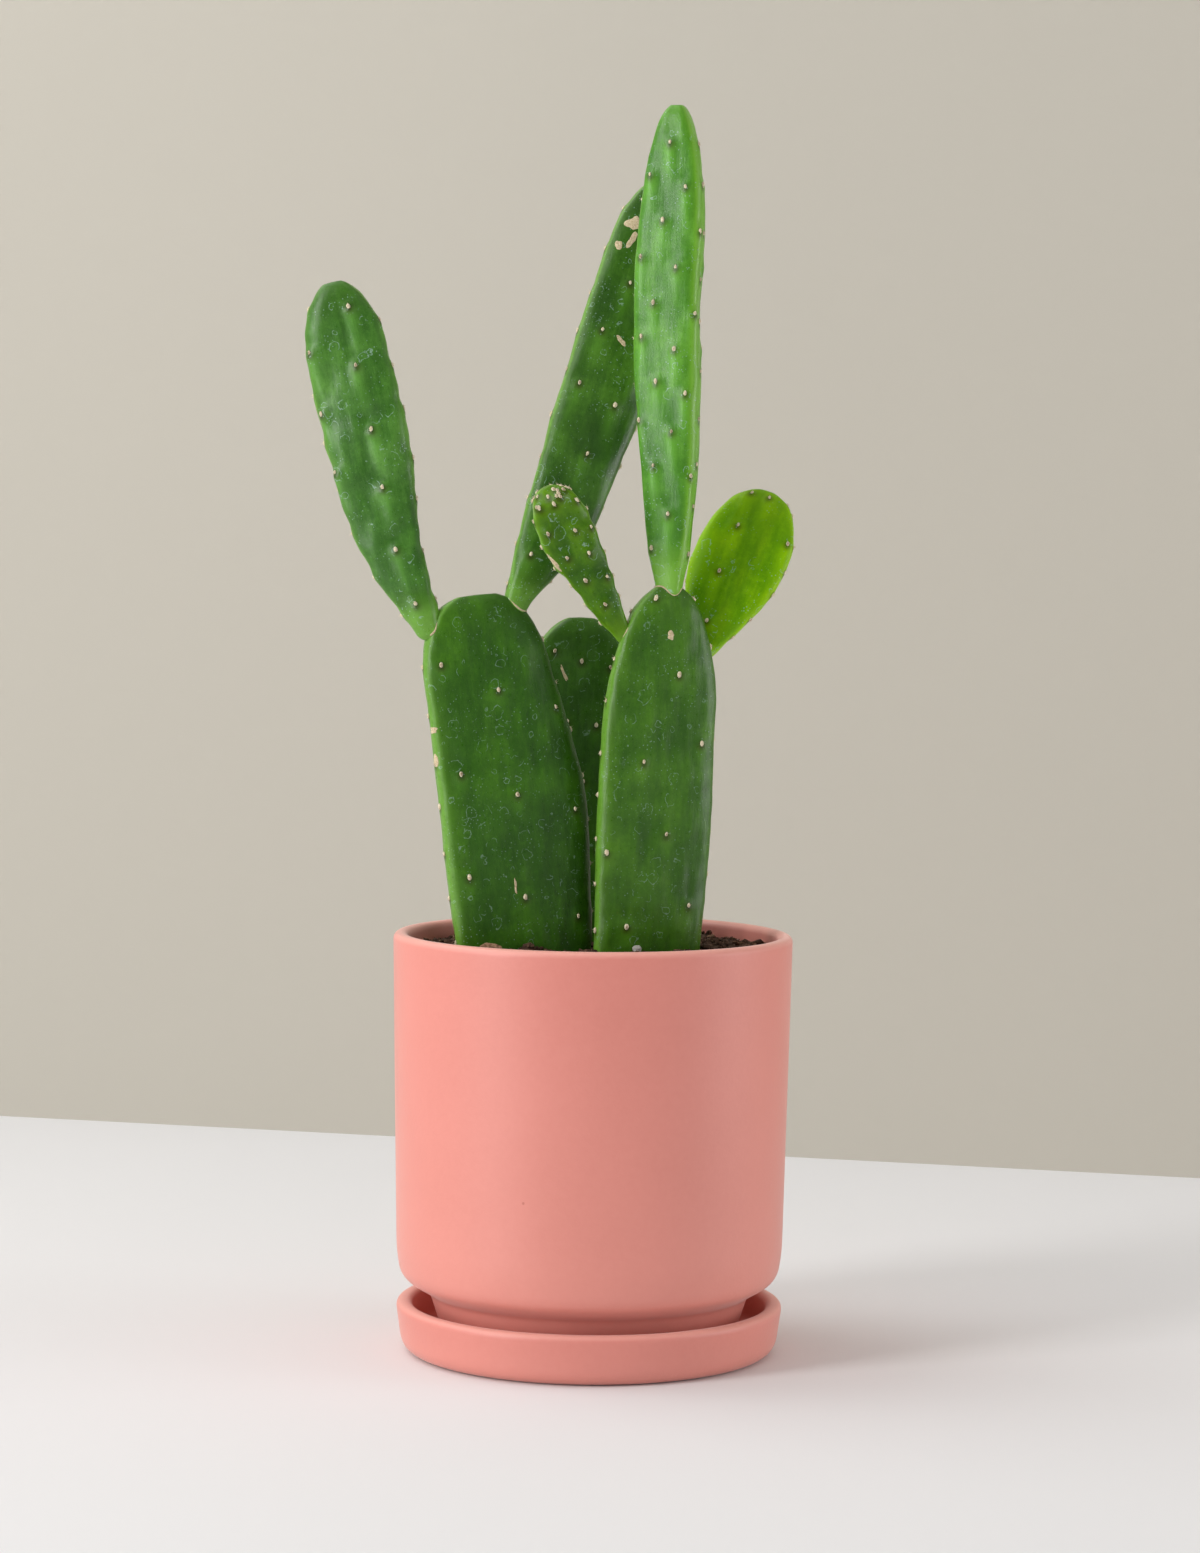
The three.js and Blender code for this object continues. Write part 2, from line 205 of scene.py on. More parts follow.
def maths(tree, operation, *values):
    """A maths node on numbers or sockets."""
    made = add(tree, "Math", operation=operation)
    for socket, value in zip(made.inputs, values):
        if isinstance(value, bpy.types.NodeSocket):
            tree.links.new(value, socket)
        else:
            socket.default_value = value
    return made.outputs[0]


def noise(tree, place, scale, detail, rough=0.5):
    """Fractal noise between 0 and 1, read at a place."""
    return add(tree, "TexNoise", Vector=place, Scale=scale, Detail=detail, Roughness=rough).outputs["Fac"]


def bump(tree, height, strength, distance):
    """The surface's normal, tipped as if the surface rose and fell with a height."""
    return add(tree, "Bump", Strength=strength, Distance=distance, Height=height).outputs["Normal"]


def new_material(name):
    """An empty node material with its Principled shader: returns the material, its tree and
    the shader."""
    material = bpy.data.materials.new(name)
    material.use_nodes = True
    tree = material.node_tree
    return material, tree, tree.nodes["Principled BSDF"]


def coral_glaze(name, lip_height, lip_depth):
    """Matte stoneware glaze. Its coral pink is mottled by slow and fine noise and carries sparse
    darker specks. It turns paler on the lip, partly as thin glaze and partly as a painted
    highlight. It turns faintly paler towards the table as painted light bounced up from it. It
    has a silky roughness with a faint orange-peel bump."""
    material, tree, shader = new_material(name)
    place = add(tree, "TexCoord").outputs["Object"]
    cloud = noise(tree, place, 22.0, 3.0)
    grain = noise(tree, place, 420.0, 4.0, 0.6)
    body = ramp(tree, cloud, (0.3, (0.680, 0.228, 0.186)), (0.7, (0.712, 0.243, 0.200)))
    grained = mixed(tree, level(tree, grain, 0.35, 0.7, 0.0, 0.10), body, (0.82, 0.345, 0.28))
    height = add(tree, "SeparateXYZ", Vector=place).outputs["Z"]
    # Paler on the lip: partly thin glaze, partly a painted highlight. Faintly paler towards the table:
    # painted light bounced up from it.
    lip = level(tree, height, lip_height - lip_depth, lip_height, 0.0, 0.6)
    thin_glaze_and_painted_light = maths(tree, "MAXIMUM", lip, level(tree, height, 0.0, lip_height, 0.16, 0.0))
    glaze_with_painted_light = mixed(tree, thin_glaze_and_painted_light, grained, (0.9, 0.47, 0.39))
    cells = add(tree, "TexVoronoi", Vector=place, Scale=95.0).outputs
    chosen = level(tree, add(tree, "SeparateColor", Color=cells["Color"]).outputs["Red"], 0.86, 0.9)
    speck = maths(tree, "MULTIPLY", level(tree, cells["Distance"], 0.03, 0.055, 0.55, 0.0), chosen)
    join(shader, Base_Color=mixed(tree, speck, glaze_with_painted_light, (0.42, 0.09, 0.06)),
         Roughness=level(tree, grain, 0.3, 0.7, 0.42, 0.5),
         Normal=bump(tree, noise(tree, place, 900.0, 3.0), 0.12, 0.0004),
         Specular_IOR_Level=0.5, Sheen_Weight=0.45, Sheen_Tint=(1.0, 0.8, 0.76, 1), Sheen_Roughness=0.3)
    return material


saucer_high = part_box("saucer")[1]
SAUCER_OUTER = saucer_high.x
SAUCER_TOP = saucer_high.z
SAUCER_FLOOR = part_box("pot")[0].z
SAUCER_WALL = 5.65 * MM
SAUCER_FLARE = 2.4 * MM
saucer_side = SAUCER_OUTER - SAUCER_FLARE
saucer_inside = SAUCER_OUTER - SAUCER_WALL
saucer_corners = [
    (0.0, 0.0, 0),
    (saucer_side, 0.0, 5.7 * MM),
    (SAUCER_OUTER, SAUCER_TOP - 0.1 * MM, 2.6 * MM),
    (SAUCER_OUTER - 2.8 * MM, SAUCER_TOP, 0),
    (saucer_inside + 0.1 * MM, SAUCER_TOP - 0.1 * MM, 2.4 * MM),
    (saucer_inside - 1.0 * MM, SAUCER_FLOOR, 3.6 * MM),
    (0.0, SAUCER_FLOOR, 0),
]
saucer_profile = filled(rounded(saucer_corners), 1.5 * MM)
saucer = grid_mesh(
    "glazed_saucer",
    thrown(saucer_profile[1:-1], 256, 0.04 * MM, seed=3),
    (0, 0, 0),
    (0, 0, SAUCER_FLOOR),
    coral_glaze("saucer coral glaze", SAUCER_TOP, 1.6 * MM),
)
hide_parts("saucer")
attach(saucer, "root")


# ---- Pot: a stoneware cylinder, a touch wider at the rim, with a fully rounded lip, a soft
# lower edge and a narrow tapering foot, in matte coral glaze. A drainage hole goes through
# its floor, and it rests on the saucer's floor.

pot_low, pot_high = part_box("pot")
POT_RIM = pot_high.x
POT_TOP = pot_high.z
POT_SEAT = pot_low.z
POT_WALL = 5.05 * MM
POT_BODY = POT_RIM - 2.0 * MM
POT_SHOULDER = POT_BODY - 1.7 * MM
FOOT_TOP = POT_SHOULDER - 8.8 * MM
FOOT_BASE = FOOT_TOP - 5.5 * MM
POT_FLOOR = POT_SEAT + 6 * MM
pot_corners = [
    (7 * MM, POT_SEAT, 0),
    (FOOT_BASE + 0.2 * MM, POT_SEAT, 1.4 * MM),
    (FOOT_TOP - 0.6 * MM, POT_SEAT + 14.6 * MM, 1.6 * MM),
    (POT_SHOULDER + 0.3 * MM, POT_SEAT + 20.3 * MM, 3.8 * MM),
    (POT_BODY, POT_SEAT + 29 * MM, 4 * MM),
    (POT_RIM, POT_TOP - 0.1 * MM, 2.5 * MM),
    (POT_RIM - POT_WALL / 2, POT_TOP, 0),
    (POT_RIM - POT_WALL, POT_TOP - 0.1 * MM, 2.5 * MM),
    (POT_BODY - POT_WALL, POT_SEAT + 31 * MM, 3.5 * MM),
    (POT_SHOULDER - POT_WALL - 1.5 * MM, POT_SEAT + 25 * MM, 3 * MM),
    (FOOT_TOP - POT_WALL - 1 * MM, POT_SEAT + 19 * MM, 4 * MM),
    (FOOT_BASE - POT_WALL, POT_FLOOR, 4 * MM),
    (7 * MM, POT_FLOOR, 0),
]
pot_profile = filled(rounded(pot_corners), 2 * MM)
pot_profile = np.vstack([pot_profile, pot_profile[:1] + [0, 3 * MM]])
pot = grid_mesh(
    "glazed_pot",
    thrown(pot_profile, 288, 0.05 * MM, seed=5),
    material=coral_glaze("pot coral glaze", POT_TOP, 2.2 * MM),
)
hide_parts("pot")
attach(pot, "root")


# ---- Potting soil: dark peat with bark, coir and grit, filled to just below the lip. The
# soil itself is one uneven surface; crumbs, bark bits and grit lie loose on top of it.

SOIL_TOP = POT_TOP - 4 * MM
SOIL_RADIUS = POT_RIM - POT_WALL - 0.35 * MM
SOIL_RINGS = 76         # from the pot's wall in to its axis
SOIL_AROUND = 240


def waves(points, size, count, seed):
    """Smooth random relief between about -1 and 1: the mean of `count` sine waves in random
    directions, each with a length near `size`, read at points of any shape."""
    random = np.random.default_rng(seed)
    axes = random.normal(size=(count, points.shape[-1]))
    axes /= np.linalg.norm(axes, axis=1)[:, None]
    axes *= 2 * np.pi / (size * random.uniform(0.6, 1.6, count))[:, None]
    return np.sin(points @ axes.T + random.uniform(0, 2 * np.pi, count)).sum(-1) / math.sqrt(count)


def soil_colours(name, dark, light, size):
    """Crumbly earth: dark and light brown clots by noise of one size, pale fibres where a
    stretched noise peaks, and no gloss."""
    material, tree, shader = new_material(name)
    place = add(tree, "TexCoord").outputs["Object"]
    clots = noise(tree, place, 1 / size, 6.0, 0.7)
    body = ramp(tree, clots, (0.35, dark), (0.55, light), (0.72, tuple(1.7 * c for c in light)))
    drawn = add(tree, "Mapping", Vector=place, Scale=(1.0, 0.16, 0.5), Rotation=(0.3, 0.1, 0.8))
    fibre = level(tree, noise(tree, drawn.outputs["Vector"], 900.0, 2.0), 0.62, 0.68, 0.0, 0.5)
    join(shader, Base_Color=mixed(tree, fibre, body, (0.30, 0.19, 0.11)),
         Roughness=level(tree, clots, 0.3, 0.7, 0.97, 0.8),
         Normal=bump(tree, clots, 0.7, 0.0008), Specular_IOR_Level=0.2)
    return material


soil_rings = np.vstack([
    [[POT_SHOULDER - POT_WALL - 14 * MM, POT_FLOOR + 1 * MM]],
    [[POT_SHOULDER - POT_WALL - 2 * MM, POT_FLOOR + 22 * MM]],
    np.linspace([POT_BODY - POT_WALL - 0.2 * MM, POT_FLOOR + 32 * MM],
                [SOIL_RADIUS, SOIL_TOP - 2.2 * MM], 8),
    np.linspace([SOIL_RADIUS, SOIL_TOP], [0.8 * MM, SOIL_TOP], SOIL_RINGS),
])
SOIL_FIRST = len(soil_rings) - SOIL_RINGS
soil_surface = thrown(soil_rings, SOIL_AROUND)
soil_across = np.hypot(soil_surface[..., 0], soil_surface[..., 1]) / SOIL_RADIUS
soil_relief = (
    0.9 * MM * waves(soil_surface, 16 * MM, 9, seed=31)
    + 0.5 * MM * waves(soil_surface, 5 * MM, 14, seed=32)
    + 0.3 * MM * np.abs(waves(soil_surface, 2.4 * MM, 14, seed=33))
)
soil_relief -= 1.0 * MM * soil_across ** 6
soil_surface[SOIL_FIRST:, :, 2] += soil_relief[SOIL_FIRST:] - 1.3 * MM
soil = grid_mesh(
    "potting_soil",
    soil_surface,
    (0, 0, POT_FLOOR + 1 * MM),
    (0, 0, soil_surface[-1, :, 2].mean()),
    soil_colours("damp potting soil", (0.022, 0.012, 0.007), (0.075, 0.040, 0.024), 2.2 * MM),
)
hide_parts("soil")
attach(soil, "root")


def lump_shape(across, around):
    """A unit ball as a grid: `across` rings between two poles, `around` points in each."""
    polar = np.linspace(np.pi, 0, across + 2)[1:-1, None]
    angle = np.linspace(0, 2 * np.pi, around, endpoint=False)
    return np.stack([
        np.sin(polar) * np.cos(angle), np.sin(polar) * np.sin(angle), np.cos(polar) + 0 * angle,
    ], -1)


def many(name, grids, material, ends=None):
    """One mesh of many small closed shapes. `grids` is shapes x rings x around x 3. A shape
    closes on the middles of its first and last ring, or on its own end point if given."""
    count, rings, around = grids.shape[:3]
    starts = grids[:, 0].mean(1)
    ends = grids[:, -1].mean(1) if ends is None else ends
    ring = np.arange(around)
    across = np.roll(ring, -1)
    lower = np.arange(rings - 1)[:, None] * around
    quads = np.stack([lower + ring, lower + across, lower + around + across, lower + around + ring], -1)
    size = rings * around
    last = size - around
    caps = np.vstack([
        np.stack([across, ring, np.full(around, size)], -1),
        np.stack([last + ring, last + across, np.full(around, size + 1)], -1),
    ])
    shift = (np.arange(count) * (size + 2))[:, None, None]
    corners = np.concatenate([grids.reshape(count, size, 3), starts[:, None], ends[:, None]], 1)
    faces = (quads.reshape(1, -1, 4) + shift).reshape(-1, 4).tolist()
    faces += (caps[None] + shift).reshape(-1, 3).tolist()
    mesh = bpy.data.meshes.new(name)
    mesh.from_pydata(corners.reshape(-1, 3).tolist(), [], faces)
    mesh.polygons.foreach_set("use_smooth", np.ones(len(mesh.polygons), bool))
    mesh.update()
    mesh.materials.append(material)
    piece = bpy.data.objects.new(name, mesh)
    bpy.context.collection.objects.link(piece)
    return piece


def dents(ball, count, depth, random):
    """Radius factors for copies of a unit ball: one sine wave of the given depth through each,
    in a random direction. Copies x rings x around x 1."""
    waves_through = np.einsum("rai,ni->nra", ball, random.normal(0, 3, (count, 3)))
    return 1 + depth * np.sin(waves_through + random.uniform(0, 6, (count, 1, 1)))[..., None]


def scattered(name, count, sizes, squash, material, seed, reach=0.985):
    """Small broken lumps strewn on the soil: unit balls stretched unevenly, dented by a random
    wave each, turned at random about the vertical and set half sunk into the soil's surface."""
    random = np.random.default_rng(seed)
    ball = lump_shape(3, 7)
    size = random.uniform(*sizes, (count, 1, 1, 1))
    stretch = random.uniform(0.55, 1.0, (count, 1, 1, 3)) * [1, 1, squash]
    shapes = ball[None] * dents(ball, count, 0.28, random) * stretch * size
    turn = random.uniform(0, 2 * np.pi, (count, 1, 1))
    tip = random.uniform(-0.5, 0.5, (count, 1, 1))
    cos, sin = np.cos(turn), np.sin(turn)
    x, y, z = np.moveaxis(shapes, -1, 0)
    z = z + x * np.sin(tip)
    radius = np.sqrt(random.uniform(0, reach ** 2, count)) * (SOIL_RADIUS - size.ravel())
    angle = random.uniform(0, 2 * np.pi, count)
    ring = SOIL_FIRST + (SOIL_RINGS * (1 - radius / SOIL_RADIUS)).astype(int)
    base = soil_surface[ring, (SOIL_AROUND * angle / (2 * np.pi)).astype(int) % SOIL_AROUND, 2]
    rise = base + random.uniform(0.0, 0.3, count) * size.ravel()
    centre = np.stack([radius * np.cos(angle), radius * np.sin(angle), rise], -1)[:, None, None]
    grids = np.stack([x * cos - y * sin, x * sin + y * cos, z], -1) + centre
    piece = many(name, grids, material)
    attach(piece, "root")
    return piece


scattered("soil_crumbs", 2600, (0.5 * MM, 1.5 * MM), 0.8,
          soil_colours("soil crumbs", (0.028, 0.015, 0.009), (0.10, 0.054, 0.032), 1.4 * MM), 41)
scattered("soil_clods", 380, (1.4 * MM, 2.6 * MM), 0.7,
          soil_colours("soil clods", (0.03, 0.016, 0.01), (0.085, 0.046, 0.028), 1.8 * MM), 42)
scattered("bark_bits", 220, (0.8 * MM, 2.2 * MM), 0.45,
          soil_colours("composted bark bits", (0.07, 0.035, 0.02), (0.20, 0.115, 0.065), 1.2 * MM), 43)
scattered("grit_grains", 60, (0.4 * MM, 0.8 * MM), 0.9,
          soil_colours("pale grit", (0.30, 0.27, 0.23), (0.55, 0.52, 0.46), 1.0 * MM), 44)


# ---- Roots: the woody roots under each rooted pad, all inside the soil. They keep their
# modelled shapes and get a finish of rough brown bark.

def root_bark(name):
    """Corky bark: light and dark brown bands from noise drawn out along the roots, cut by
    darker cracks, all of it rough."""
    material, tree, shader = new_material(name)
    place = add(tree, "TexCoord").outputs["Object"]
    drawn = add(tree, "Mapping", Vector=place, Scale=(1.0, 1.0, 0.25)).outputs["Vector"]
    bands = noise(tree, drawn, 320.0, 5.0, 0.65)
    join(shader, Base_Color=ramp(tree, bands, (0.3, (0.10, 0.052, 0.026)), (0.7, (0.33, 0.21, 0.12))),
         Roughness=0.9, Normal=bump(tree, bands, 0.6, 0.0006))
    return material


bark = root_bark("root bark")
for root_name in ("lower_left_roots", "lower_right_roots", "back_roots"):
    for root_slot in frame["nodes"][root_name].material_slots:
        root_slot.material = bark


# ---- Rooted pads: three old, thick pads of solid green flesh, set deep in the soil. Each is a
# flat oval in section, nearly straight-sided, and rounded off at the top. The skin is waxy,
# dark and mottled, and rises a little at each areole. Its margin is paler, partly fresher skin
# and partly a painted highlight that is brighter on the left.

def station(plan, height, column):
    """One column of a pad's stations at any heights: straight steps between the stations,
    averaged over a few millimetres up and down so that the outline has no corners."""
    table = np.array(plan["stations"], float)
    spread = np.linspace(-1, 1, 9) * min(8.0, plan["length"] / 10)
    return np.mean([np.interp(height + step, table[:, 0], table[:, column]) for step in spread], 0)


def end_round(distance, radius, power=2.0):
    """The share of its full width that an outline has near its end: an ellipse, or with a
    higher power a squarer curve."""
    return (1 - np.clip(1 - distance / radius, 0, 1) ** power) ** (1 / power)


def section(plan, height):
    """Middle, half width and half thickness of a pad at any heights, its ends closed."""
    to_tip = plan["length"] - height
    thick_tip = 2.2 * plan["stations"][-1][3]
    foot = end_round(height, plan["base"])
    return (
        station(plan, height, 1),
        station(plan, height, 2) * end_round(to_tip, plan["tip"], plan["shoulders"]) * foot,
        station(plan, height, 3) * end_round(to_tip, thick_tip) * foot,
    )


def round_section(plan):
    """Place round the section -> angle of the flattened oval, so that equal places are equal
    lengths of skin. Place 0 is the middle of the front and 1/4 the right margin."""
    angle = np.linspace(-np.pi, np.pi, 8001)
    wide, thick = plan["stations"][2][2:4]
    power = 2 / plan["flat"]
    x = wide * np.sign(np.sin(angle)) * np.abs(np.sin(angle)) ** power
    y = thick * np.sign(np.cos(angle)) * np.abs(np.cos(angle)) ** power
    length = np.concatenate([[0], np.cumsum(np.hypot(np.diff(x), np.diff(y)))])
    return length / length[-1] - 0.5, angle


def smooth_skin(plan, place, height):
    """The pad without relief: x is the middle plus half width times sin(angle) to the power
    2/flat, y the same with half thickness and -cos(angle), and z the height. Millimetres."""
    places, angles = round_section(plan)
    angle = np.interp((place + 0.5) % 1 - 0.5, places, angles)
    middle, wide, thick = section(plan, height)
    power = 2 / plan["flat"]
    sine, cosine = np.sin(angle), np.cos(angle)
    x = middle + wide * np.sign(sine) * np.abs(sine) ** power
    y = -thick * np.sign(cosine) * np.abs(cosine) ** power
    return np.stack([x, y, height + 0 * x], -1)


def skin_normal(plan, place, height):
    """Outward direction of the smooth skin, from small steps round and up."""
    round_step = smooth_skin(plan, place + 0.002, height) - smooth_skin(plan, place - 0.002, height)
    up_step = smooth_skin(plan, place, height + 0.2) - smooth_skin(plan, place, height - 0.2)
    normal = np.cross(round_step, up_step)
    return normal / np.maximum(np.linalg.norm(normal, axis=-1, keepdims=True), 1e-9)


def areole_places(plan):
    """Where a pad's areoles sit, as (place, height): a slanting lattice on each broad face,
    with a little scatter, and a row of its own up each margin and over the tip."""
    random = np.random.default_rng(plan["seed"])
    step_a, step_b = (np.array(step, float) for step in plan["steps"])
    places = []
    girth = 4 * plan["stations"][2][2] * 1.03
    for face, (x0, z0) in ((0.0, plan["first"]), (0.5, (plan["first"][1] % 7, plan["first"][1] + 9))):
        i, j = np.meshgrid(np.arange(-9, 30), np.arange(-9, 30))
        spots = np.array([x0, z0]) + i.ravel()[:, None] * step_a + j.ravel()[:, None] * step_b
        spots = spots + random.normal(0, 0.5, spots.shape)
        wide = section(plan, np.clip(spots[:, 1], 1, plan["length"] - 1))[1]
        inside = (np.abs(spots[:, 0]) < wide * 0.84) & (spots[:, 1] > plan["clear"])
        spots = spots[inside & (spots[:, 1] < plan["length"] - 3)]
        wide = section(plan, spots[:, 1])[1]
        places.append(np.stack([face + 0.25 * spots[:, 0] / wide * 0.94, spots[:, 1]], -1))
    for side in (-0.25, 0.25):
        heights = np.arange(plan["clear"] + 3 + 5 * (side > 0), plan["length"] - 1.5, plan["margin"])
        heights = heights + random.normal(0, 0.7, len(heights))
        places.append(np.stack([side + random.normal(0, 0.006, len(heights)), heights], -1))
    crowd = random.uniform(-0.5, 0.5, plan["crowd"])
    places.append(np.stack([crowd, plan["length"] - random.uniform(0.9, 5.0, plan["crowd"])], -1))
    found = np.vstack(places)
    return found[found[:, 1] < plan["length"] - 0.8]


def pad_relief(plan, place, height):
    """How far the skin stands out from the smooth pad, in millimetres, and two weights for its
    colour: a painted shadow round a point just below each areole, and the streak below it. Each
    areole sits on a low bump, with a ridge that runs down from it and fades; shallow furrows lie
    between; slow waves run along the flesh."""
    areoles = plan["areoles"]
    spot = smooth_skin(plan, place, height)
    relief = plan["wave"] * waves(spot * [1, 1, 0.45], 16.0, 8, plan["seed"] + 1)
    relief += 0.35 * plan["wave"] * waves(spot * [1, 1, 0.5], 6.0, 10, plan["seed"] + 2)
    painted_areole_shadow, streak = place * 0, place * 0
    centres = smooth_skin(plan, areoles[:, 0], areoles[:, 1])
    on_margin = np.exp(-((np.abs((areoles[:, 0] + 0.5) % 0.5 - 0.25)) / 0.03) ** 2)
    for centre, calm in zip(centres, 1 - 0.6 * on_margin):
        away = spot - centre
        across = np.hypot(away[..., 0], away[..., 1] * 1.6)
        below = -away[..., 2]
        near = np.exp(-(across ** 2 + below ** 2) / 2 / 1.7 ** 2)
        down = np.exp(-across ** 2 / 2 / 1.5 ** 2) * np.clip(1 - below / plan["ridge"], 0, 1) * (below > 0)
        down = down * np.clip(below / 1.5, 0, 1)
        # The painted shadow under each areole, centred 0.9 mm below it.
        painted_areole_shadow = np.maximum(painted_areole_shadow, np.exp(-(across ** 2 + (below - 0.9) ** 2) / 2 / 1.05 ** 2))
        streak = np.maximum(streak, down)
        relief += calm * (plan["bump"] * near + plan["rib"] * down)
        dip = np.exp(-across ** 2 / 2 / 2.2 ** 2 - (below + 3.2) ** 2 / 2 / 1.6 ** 2)
        relief -= (0.3 + 0.3 * calm) * plan["bump"] * dip
    return relief, painted_areole_shadow, streak


def pad_frame(plan, parent):
    """The matrix that stands a pad in the pot: on its parent's skin or in the soil, tilted
    sideways and leaned back after its parent, in millimetres."""
    if parent is None:
        root = Matrix.Translation((plan["x"], plan["y"], SOIL_TOP / MM - plan["buried"]))
    else:
        height = parent["length"] - plan["below"]
        middle, wide, thick = (float(station(parent, height, k)) for k in (1, 2, 3))
        narrowed = float(end_round(plan["below"], parent["tip"], parent["shoulders"]))
        spot = Vector((middle + plan["side"] * wide * narrowed, plan["face"] * thick, height))
        parent_turn = Matrix.Rotation(math.radians(parent["turn"]), 4, "Z")
        root = parent["frame"] @ Matrix.Translation(parent_turn @ spot)
    lean = Matrix.Rotation(math.radians(-plan["lean"]), 4, "X")
    return root @ lean @ Matrix.Rotation(math.radians(plan["tilt"]), 4, "Y")


def placed(plan, points):
    """A pad's own millimetres -> metres in the pot's frame."""
    whole = np.array(plan["matrix"])
    return (points @ whole[:3, :3].T + whole[:3, 3]) * MM + plan["nudge"]


def pad_skin_material(name, plan):
    """Waxy cactus skin. Greens mix along the growth: drawn-out streaks, cloudy mottling and
    fine pores. Each areole has a small painted shadow just below it and lightens a streak below
    itself. The skin is painted darker in its hollows and lighter on its rises, as painted shade
    and highlight. The tip and base turn fresher, and the margins are partly fresher and partly
    painted highlight, stronger on the left, with a painted highlight along a crest where asked.
    A bright yellow-green painted highlight band lies on the freshest margins. Faint rings of
    dried water and pale dust lie on top."""
    material, tree, shader = new_material(name)
    deep, mid, fresh = plan["greens"]
    growth = add(tree, "Attribute", attribute_name="growth").outputs["Vector"]
    painted_relief_light = add(tree, "Attribute", attribute_name="painted_relief_light").outputs["Fac"]
    marks_and_painted_light = add(tree, "Attribute", attribute_name="marks_and_painted_light").outputs["Vector"]
    painted_areole_shadow, streak, fresh_and_highlight = add(tree, "SeparateXYZ", Vector=marks_and_painted_light).outputs

    drawn = add(tree, "Mapping", Vector=growth, Scale=(1.0, 1.0, 0.16)).outputs["Vector"]
    lines = noise(tree, drawn, 0.30, 4.0, 0.6)
    cloud = noise(tree, growth, 0.085, 3.0)
    mottle = noise(tree, growth, 0.62, 6.0, 0.68)
    flecks = noise(tree, growth, 2.4, 3.0, 0.7)
    pores = add(tree, "TexVoronoi", Vector=growth, Scale=1.9).outputs["Distance"]
    blend = maths(tree, "ADD", maths(tree, "MULTIPLY", lines, 0.42), maths(tree, "MULTIPLY", cloud, 0.58))
    body = ramp(tree, blend, (0.37, deep), (0.5, mid), (0.65, fresh))
    for source, low, high, to_low, to_high, tint in (
        (mottle, 0.42, 0.62, 0.30, 0.0, deep),
        (mottle, 0.54, 0.72, 0.0, 0.32, fresh),
        (pores, 0.0, 0.26, 0.16, 0.0, fresh),
        (flecks, 0.56, 0.68, 0.0, 0.26, fresh),
        (flecks, 0.32, 0.44, 0.24, 0.0, tuple(0.6 * c for c in deep)),
        # Painted shade where the relief sinks and painted highlight where it rises.
        (painted_relief_light, -0.7, 0.0, 0.4, 0.0, deep),
        (painted_relief_light, 0.15, 1.0, 0.0, 0.40, fresh),
        (streak, 0.0, 1.0, 0.0, 0.5, tuple(1.5 * c for c in fresh)),
        # The fresher colour on the tip, base and margins. On the margins it is partly a painted highlight.
        (fresh_and_highlight, 0.0, 1.0, 0.0, plan["edge"], (1.3 * fresh[0], 1.15 * fresh[1], 0.6 * fresh[2])),
    ):
        body = mixed(tree, level(tree, source, low, high, to_low, to_high), body, tint)
    # A bright yellow-green band on the freshest margins, broken by the mottle: a painted highlight.
    uneven = level(tree, mottle, 0.3, 0.6, 0.6, 1.0)
    highlighted = maths(tree, "MULTIPLY", level(tree, fresh_and_highlight, 0.6, 1.0, 0.0, plan["margin_highlight"]), uneven)
    body = mixed(tree, highlighted, body, (0.19, 0.43, 0.055))
    # Painted shadow: the weight under each areole darkens the skin towards this shade colour.
    shade = (0.5 * deep[0] + 0.012, 0.3 * deep[1], 0.3 * deep[2])
    body = mixed(tree, maths(tree, "MULTIPLY", painted_areole_shadow, 0.85), body, shade)

    wander = add(tree, "TexNoise", Vector=growth, Scale=0.35, Detail=2.0).outputs["Color"]
    wander = add(tree, "VectorMath", operation="SCALE", Vector=wander, Scale=3.2).outputs["Vector"]
    bent = add(tree, "VectorMath", operation="ADD")
    tree.links.new(growth, bent.inputs[0])
    tree.links.new(wander, bent.inputs[1])
    rings = add(tree, "TexVoronoi", Vector=bent.outputs["Vector"], Scale=0.19).outputs
    chance = add(tree, "SeparateColor", Color=rings["Color"]).outputs
    radius = level(tree, chance["Blue"], 0.0, 1.0, 0.14, 0.42)
    off_ring = maths(tree, "ABSOLUTE", maths(tree, "SUBTRACT", rings["Distance"], radius))
    broken = level(tree, noise(tree, growth, 0.42, 3.0), 0.45, 0.53)
    dried = maths(tree, "MULTIPLY", level(tree, off_ring, 0.006, 0.026, 1.0, 0.0), broken)
    dried = maths(tree, "MULTIPLY", dried, level(tree, chance["Green"], 0.35, 0.4, 0.0, plan["dusty"]))
    specks = add(tree, "TexVoronoi", Vector=growth, Scale=0.85).outputs["Distance"]
    patch = level(tree, noise(tree, growth, 0.13, 2.0), 0.44, 0.6)
    dust = maths(tree, "MULTIPLY", level(tree, specks, 0.10, 0.22, 1.2 * plan["dusty"], 0.0), patch)

    grain = maths(tree, "MULTIPLY", noise(tree, growth, 3.2, 4.0, 0.6), 0.5)
    height = maths(tree, "ADD", maths(tree, "MULTIPLY", lines, 2.0), grain)
    join(shader, Base_Color=mixed(tree, maths(tree, "MAXIMUM", dried, dust), body, (0.34, 0.50, 0.42)),
         Roughness=level(tree, mottle, 0.35, 0.7, 0.27, 0.39), Normal=bump(tree, height, 0.2, 0.0007),
         Subsurface_Weight=0.06, Subsurface_Radius=(0.4, 1.0, 0.15), Subsurface_Scale=0.001,
         Specular_IOR_Level=plan["gloss"])
    return material


